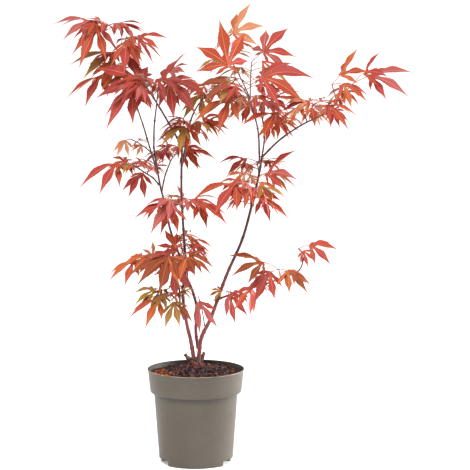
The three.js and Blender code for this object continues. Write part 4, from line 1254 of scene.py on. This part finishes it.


# Heights between which a paint changes, in metres above the pot's underside, the band of painted shade under
# the pot's collar and the painted highlight along its lip among them
HEIGHTS = {
    "bark_darkens": (0.17, 0.34), "stubs_start": (0.158, 0.165), "collar_shadow": (0.101, 0.112),
    "collar_shadow_ends": (0.1134, 0.1124), "lip_highlight": (0.1476, 0.1484),
}

# Autumn tints, each as the colour of the blade, of its midribs and of its underside
TINTS = {
    "crimson": ("#ae443d", "#d88058", "#a85a4c"),
    "red": ("#b04a33", "#de8858", "#ac5f4a"),
    "pink": ("#b45a56", "#d9967c", "#ae7066"),
    "orange": ("#bc5d36", "#e0985a", "#b47450"),
    "peach": ("#cc8560", "#e2b484", "#c39474"),
    "maroon": ("#983e38", "#ba644c", "#985044"),
    "rust": ("#8c4428", "#c07444", "#8c523a"),
    "olive": ("#a2763e", "#c49e62", "#987a52"),
    "green": ("#9e7a22", "#c4a04c", "#927c40"),
}


def leaf_paint(name, colour, roughness):
    """A leaf's skin: one plain tint, with a soft uneven sheen and a fine network of veins raised on it"""
    paint = Paint(name, colour, roughness, specular=0.15)
    paint.roughness(9, 0.3, roughness - 0.15)
    paint.bump(paint.noise(1.6, detail=4), depth=0.12, strength=0.5)
    return paint.material


def leaf_paints(tint):
    """The paints of a leaf's blade, midribs and underside, in the order of their numbers"""
    parts = zip(("leaf_", "midrib_", "underside_"), TINTS[tint], (0.48, 0.5, 0.62))
    return [leaf_paint(part + tint, colour, roughness) for part, colour, roughness in parts]


def bark_paint(name, low, high, dark, streak):
    """Smooth young bark: warmer near the foot, with pale pores and darker streaks drawn out upwards"""
    paint = Paint(name, low, roughness=0.5)
    base = paint.mixed(paint.between(paint.height(), *HEIGHTS["bark_darkens"]), low, high)
    streaks = paint.spots(streak, 0.52, 0.66, detail=4, stretch=(1, 1, 0.22))
    pores = paint.spots(1.1, 0.66, 0.72, detail=2, stretch=(1, 1, 1.8))
    paint.colour(paint.mixed(pores * 0.55, paint.mixed(streaks * 0.6, base, dark), "#b08a7c"))
    paint.roughness(4, 0.35, 0.35)
    fissures = paint.noise(streak * 0.5, detail=5, stretch=(1, 1, 0.35))
    paint.bump(fissures + pores * 0.4, depth=0.35, strength=0.8)
    return paint.material


def crown_paint():
    """Old rough bark: red and cracked round the foot, grey on the dead stubs"""
    paint = Paint("crown_bark", "#6b3b33", roughness=0.8)
    grain = paint.noise(2.4, detail=6, stretch=(1, 1, 0.5))
    red = paint.ramp(grain, [(0.34, "#260f0e"), (0.48, "#642a26"), (0.6, "#8c443c"), (0.74, "#b87868")])
    grey = paint.ramp(grain, [(0.34, "#1d1712"), (0.5, "#51443a"), (0.7, "#86786a")])
    paint.colour(paint.mixed(paint.between(paint.height(), *HEIGHTS["stubs_start"]), red, grey))
    paint.roughness(3, 0.35, 0.6)
    paint.bump(paint.noise(1.3, detail=6), depth=0.7)
    return paint.material


def cut_paint():
    """The dry cut end of a stub, with its rings"""
    paint = Paint("cut_wood", "#b08058", roughness=0.8)
    rings = paint.noise(1.2)
    paint.colour(paint.ramp(rings, [(0.35, "#7a4c38"), (0.55, "#a87556"), (0.7, "#c69a78")]))
    paint.bump(rings, depth=0.25)
    return paint.material


def twig_paint(name, colour, dark):
    """The skin of a young shoot, a petiole or a bud, in clouds of two colours"""
    paint = Paint(name, colour, roughness=0.5)
    paint.colour(paint.mixed(paint.spots(7, 0.4, 0.65), colour, dark))
    paint.roughness(3, 0.3, 0.35)
    paint.bump(paint.noise(0.9, stretch=(1, 1, 0.3)), depth=0.12)
    return paint.material


def pot_paint():
    """Satin moulded plastic: grained, with a painted highlight along its lip and a band of painted shade
    under its collar
    """
    paint = Paint("pot_plastic", "#534b40", roughness=0.5)
    base = paint.mixed(paint.spots(60, 0.3, 0.7), "#4e463b", "#564e43")
    speckled = paint.mixed(paint.spots(1.3, 0.64, 0.7, detail=2) * 0.25, base, "#8c8478")
    rise = paint.height()
    # Painted shade: a band darkened towards #2c2620 on the wall just under the collar, where the collar's
    # overhang shades it
    corner = paint.between(rise, *HEIGHTS["collar_shadow"]) * paint.between(rise, *HEIGHTS["collar_shadow_ends"])
    collar_shaded = paint.mixed(corner * 0.55, speckled, "#2c2620")
    # Painted highlight: a patchy pale line of #b59b80 along the lip's outer edge, where light catches it
    lip = paint.between(rise, *HEIGHTS["lip_highlight"]) * paint.spots(12, 0.3, 0.6)
    paint.colour(paint.mixed(lip * 0.6, collar_shaded, "#b59b80"))
    paint.roughness(14, 0.22, 0.36, detail=4)
    rings = paint.noise(2.2, detail=2, stretch=(0.02, 0.02, 1))
    paint.bump(paint.noise(0.7) + rings * 0.35, depth=0.14, strength=0.6)
    return paint.material


def pot_inside_paint():
    """The same plastic inside the collar, painted darker than outside as painted shade"""
    # Painted shade: darker colours for the shaded inside of the collar
    paint = Paint("pot_plastic_shaded", "#3e3830", roughness=0.6)
    paint.colour(paint.mixed(paint.spots(16, 0.35, 0.65, detail=4), "#322c25", "#4a4339"))
    paint.roughness(14, 0.2, 0.5, detail=4)
    paint.bump(paint.noise(0.7), depth=0.14, strength=0.6)
    return paint.material


def earth_paint(name, size, stops, depth):
    """Matt compost, crumbs or chips of bark, with lumps of this size in the colours of the stops"""
    paint = Paint(name, stops[1][1], roughness=0.9, specular=0.3)
    paint.colour(paint.ramp(paint.noise(size, detail=6), stops))
    paint.roughness(4, 0.25, 0.75)
    paint.bump(paint.noise(size * 0.5, detail=6), depth)
    return paint.material


def make_paints():
    """All materials by the names that the pieces are made with"""
    paints = {tint: leaf_paints(tint) for tint in TINTS}
    paints.update({
        "stem": bark_paint("stem_bark", "#96494a", "#552829", "#351619", streak=5),
        "bough": bark_paint("bough_bark", "#8a4947", "#5e302f", "#3c1f20", streak=4),
        "crown": crown_paint(),
        "cut_wood": cut_paint(),
        "petioles": twig_paint("petiole", "#a8483f", "#c27a5c"),
        "twigs": twig_paint("twig", "#7c4340", "#5a3030"),
        "bud": twig_paint("bud", "#7a3a36", "#4c2426"),
        "pot": pot_paint(),
        "pot_inside": pot_inside_paint(),
    })
    for name, material, size, stops, depth in (
        ("compost", "compost", 5, [(0.3, "#0d0908"), (0.5, "#211614"), (0.72, "#3f2a24")], 1.6),
        ("crumb", "crumb", 6, [(0.38, "#150e0e"), (0.5, "#2f1f20"), (0.64, "#6d4c4a")], 0.8),
        ("chip", "bark_chip", 9, [(0.3, "#4a2216"), (0.5, "#7a3b20"), (0.7, "#a2562c")], 0.6),
        ("pale_chip", "pale_chip", 9, [(0.3, "#8a4214"), (0.5, "#c0641f"), (0.7, "#d98a45")], 0.5),
    ):
        paints[name] = earth_paint(material, size, stops, depth)
    return paints


# Floor, light and camera, set as the photograph was taken

# The floor's width and glow, the brightness all round, and where the lights point, in metres
STUDIO = {"floor": 60, "glow": 0.25, "sky": 0.5, "aim": (0, 0, 0.35)}

# Lights by name: kind, place, power, and an area lamp's width in metres or the sun's spread in degrees
LIGHTS = {
    "overhead": ("SUN", (-0.5, -1.9, 2.9), 2.3, 28),
    "right": ("AREA", (2.2, 0.7, 0.9), 85, 1.2),
    "left": ("AREA", (-2.2, 0.6, 1.3), 12, 2.4),
}


def make_floor():
    """A white studio table that glows a little, so that shadows on it stay faint"""
    bpy.ops.object.select_all(action="DESELECT")
    bpy.ops.mesh.primitive_plane_add(size=STUDIO["floor"], location=(0, 0, 0))
    floor = bpy.context.view_layer.objects.active
    floor.name = "floor"
    paint = Paint("floor", "#fdfdfc", roughness=0.9, specular=0.2)
    paint.roughness(300, 0.1, 0.85)
    paint.surface.inputs["Emission Color"].default_value = (1, 1, 1, 1)
    paint.surface.inputs["Emission Strength"].default_value = STUDIO["glow"]
    floor.data.materials.append(paint.material)
    floor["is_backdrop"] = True


def placed(name, data, place, target):
    """A light or camera in the scene, turned to its target"""
    piece = shown(name, data)
    piece.location = place
    piece.rotation_euler = (Vector(target) - Vector(place)).to_track_quat("-Z", "Y").to_euler()
    return piece


def make_lights():
    """The lights in an even white surrounding, with colours shown as they are"""
    for name, (kind, place, power, size) in LIGHTS.items():
        light = bpy.data.lights.new(name, kind)
        light.energy = power
        if kind == "SUN":
            light.angle = math.radians(size)
        else:
            light.shape, light.size = "DISK", size
        placed(name, light, place, STUDIO["aim"])
    world = bpy.data.worlds.new("studio")
    world.use_nodes = True
    world.node_tree.nodes["Background"].inputs["Color"].default_value = (1, 1, 1, 1)
    world.node_tree.nodes["Background"].inputs["Strength"].default_value = STUDIO["sky"]
    bpy.context.scene.world = world
    bpy.context.scene.view_settings.view_transform = "Standard"


def make_camera():
    """The camera, where the photograph was taken from"""
    camera = bpy.data.cameras.new("camera")
    camera.lens, camera.sensor_width = CAMERA["lens"], CAMERA["sensor"]
    place, target = np.array(CAMERA["place"]) * MM, np.array(CAMERA["target"]) * MM
    bpy.context.scene.camera = placed("camera", camera, place, target)


# The whole plant

limbs, masses = grow_plant()
paints = make_paints()
make_pot([paints["pot"], paints["pot_inside"]])
make_compost(paints)
make_crown(paints)
buds = make_limbs(limbs, paints)
buds += make_foliage(masses, paints)
make_buds(buds, paints["bud"])
make_floor()
make_lights()
make_camera()

visual_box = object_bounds()
boxes = {"cad": cad_box, "visual": visual_box}
{name: [list(corner) for corner in box] for name, box in boxes.items()}
